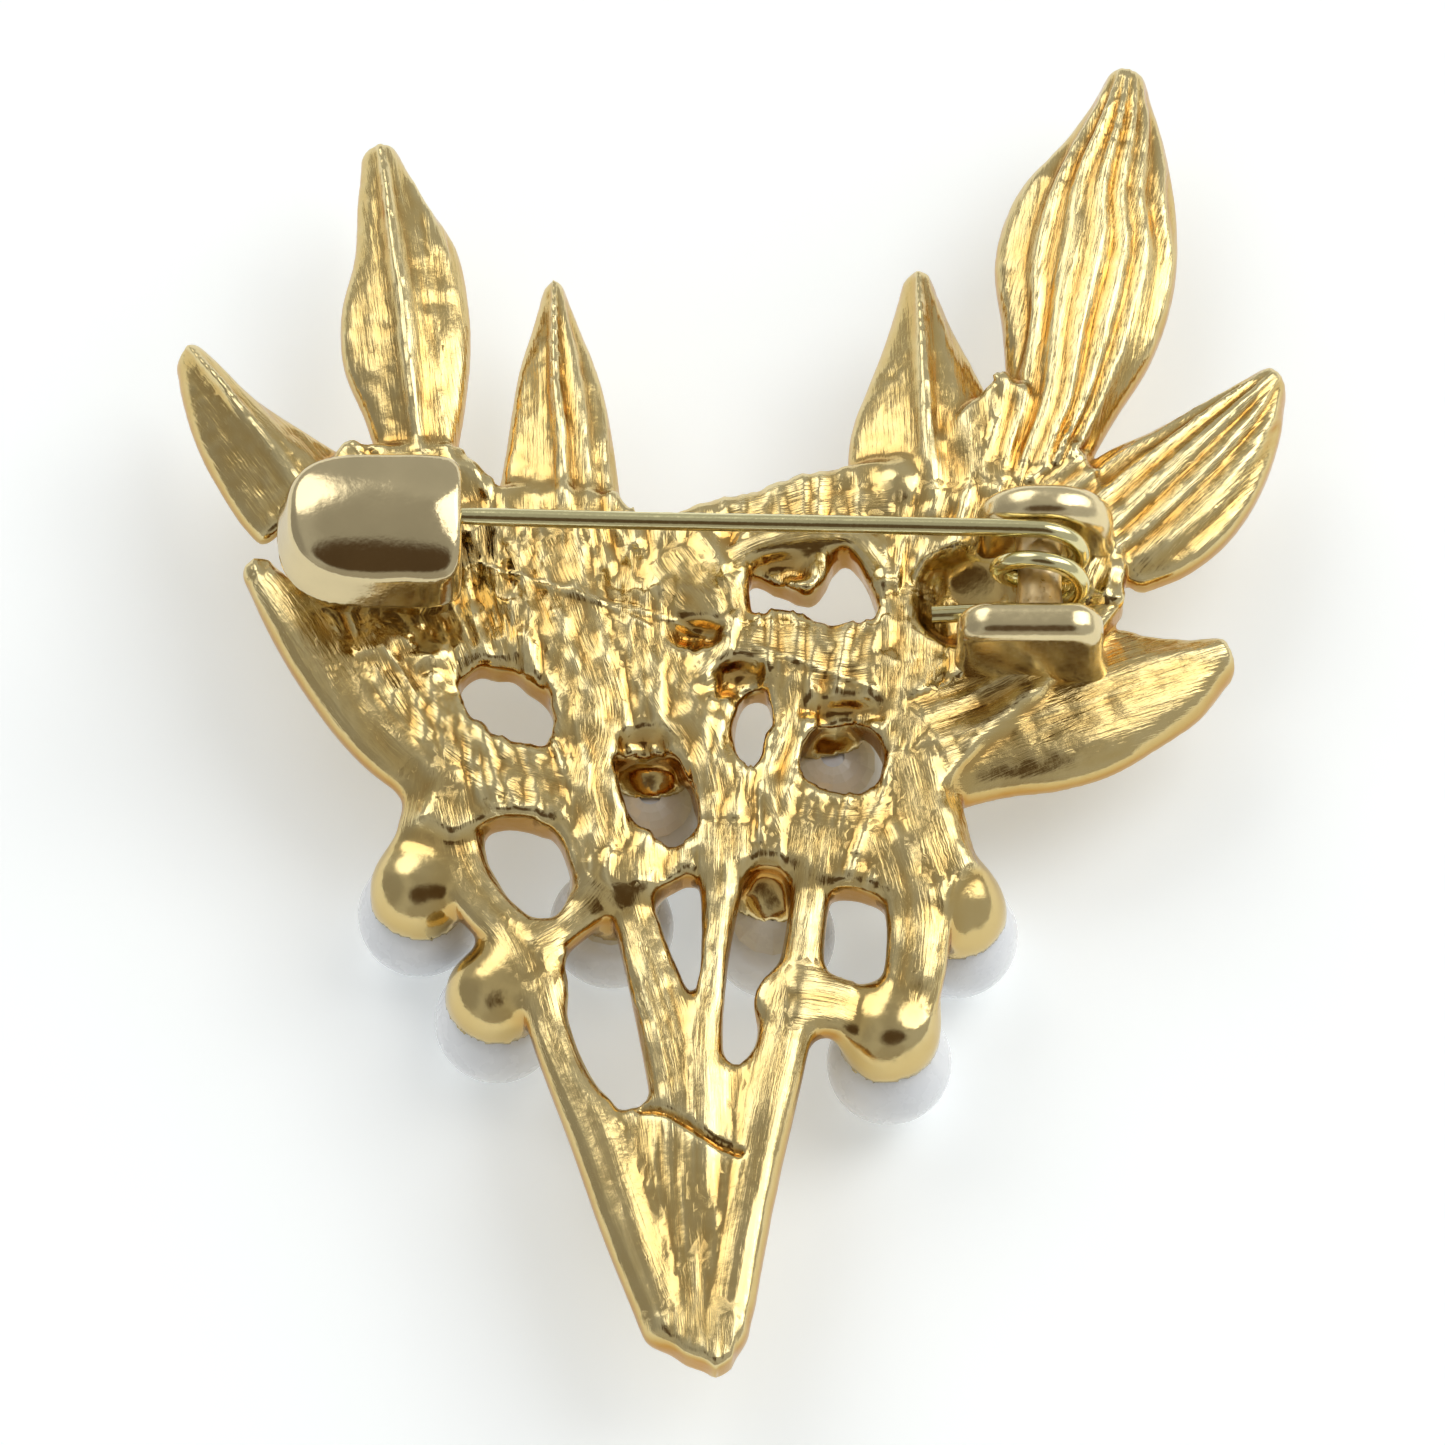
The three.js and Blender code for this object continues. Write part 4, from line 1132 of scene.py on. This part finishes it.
sky = {
    "base": (0.51, 0.52, 0.52, 1), "sun": 0.75, "sunWidth": 40, "sunTurn": (-16, 34, 0),
    "patches": [
        # direction, inner and outer cosine, brightness
        ((-0.42, 0.60, 0.68), 0.968, 0.918, (2.3, 2.3, 2.3)),
        ((0.78, 0.40, 0.50), 0.985, 0.943, (2.6, 2.6, 2.55)),
        ((0.1, 0.1, 0.98), 0.97, 0.84, (0.40, 0.40, 0.39)),
        ((0.0, -0.985, 0.17), 0.95, 0.85, (0.42, 0.41, 0.39)),
        ((0.0, -0.574, 0.819), 0.96, 0.87, (0.10, 0.068, 0.04)),
        ((-0.95, -0.1, 0.35), 0.93, 0.76, (0.36, 0.36, 0.36)),
    ],
}


def makeSky():
    world = bpy.data.worlds.new("studio")
    scene.world = world
    world.use_nodes = True
    tree = world.node_tree
    place = tree.nodes.new("ShaderNodeTexCoord")
    colour = sky["base"]
    for direction, inner, outer, glow in sky["patches"]:
        unit = np.array(direction) / np.linalg.norm(direction)
        sides = {0: place.outputs["Generated"], 1: unit}
        dot = wired(tree, "ShaderNodeVectorMath", sides, operation="DOT_PRODUCT")
        edge = {"From Min": outer, "From Max": inner, "Value": dot.outputs["Value"]}
        reach = wired(tree, "ShaderNodeMapRange", edge, interpolation_type="SMOOTHSTEP")
        mix = wired(tree, "ShaderNodeMix", {}, data_type="RGBA")
        values = {"Factor_Float": reach.outputs["Result"], "A_Color": colour, "B_Color": (*glow, 1)}
        for socket in mix.inputs:
            if socket.identifier in values:
                put(tree, socket, values[socket.identifier])
        colour = next(socket for socket in mix.outputs if socket.identifier == "Result_Color")
    back = tree.nodes["Background"]
    tree.links.new(colour, back.inputs["Color"])
    back.inputs["Strength"].default_value = 1.0
    scene.view_settings.view_transform = "Standard"
    lamp = bpy.data.lights.new("lamp", "SUN")
    lamp.energy, lamp.angle = sky["sun"], math.radians(sky["sunWidth"])
    bulb = bpy.data.objects.new("lamp", lamp)
    bulb.rotation_euler = tuple(math.radians(turn) for turn in sky["sunTurn"])
    scene.collection.objects.link(bulb)


makeStage()
makeSky()
print("stage and sky")
grain = makeGrain()
gold = makeGold(grain)
hoodGold = makeSmoothGold("catch gold", grain, (0.72, 0.59, 0.34), 0.11)
satin = makeSmoothGold("satin gold", grain, (0.82, 0.68, 0.39), 0.19)
dull = makeSmoothGold("peg gold", grain, (0.86, 0.68, 0.40), 0.34)
bright = makeSmoothGold("pin wire", grain, (0.82, 0.74, 0.40), 0.15)
nacre = makeNacre("pearl lacquer", grain, (0.80, 0.82, 0.86), (0.90, 0.91, 0.92))
casting = makeCasting(gold)
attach(casting, "brooch")
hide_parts(*(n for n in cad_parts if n.startswith(("leaf_", "stem_", "link_", "back_", "cup_"))))
pieces = [
    (makeHood(hoodGold), "brooch", "gold", ["catch_hood"]),
    (makeEar("upper", satin), "brooch", "gold", ["hinge_ear_upper"]),
    (makeEar("lower", satin), "brooch", "gold", ["hinge_ear_lower"]),
    (makePeg(dull), "brooch", "gold", ["pivot_peg"]),
    (makeWire(bright), "pin", "pin_gold", ["pin_wire"]),
    (makePearls(nacre), "brooch", "pearl", [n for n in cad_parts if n.startswith("pearl_")]),
]
for piece, body, finish, nodes in pieces:
    print(piece.name, len(piece.data.vertices), "points", body, finish)
    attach(piece, body)
    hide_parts(*nodes)
print("materials", len(bpy.data.materials))
glue = makeNacre("cement", grain, (0.72, 0.68, 0.56), (0.84, 0.80, 0.68))
for name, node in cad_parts.items():
    if name.startswith("cement_"):
        node.data.materials.clear()
        node.data.materials.append(glue)
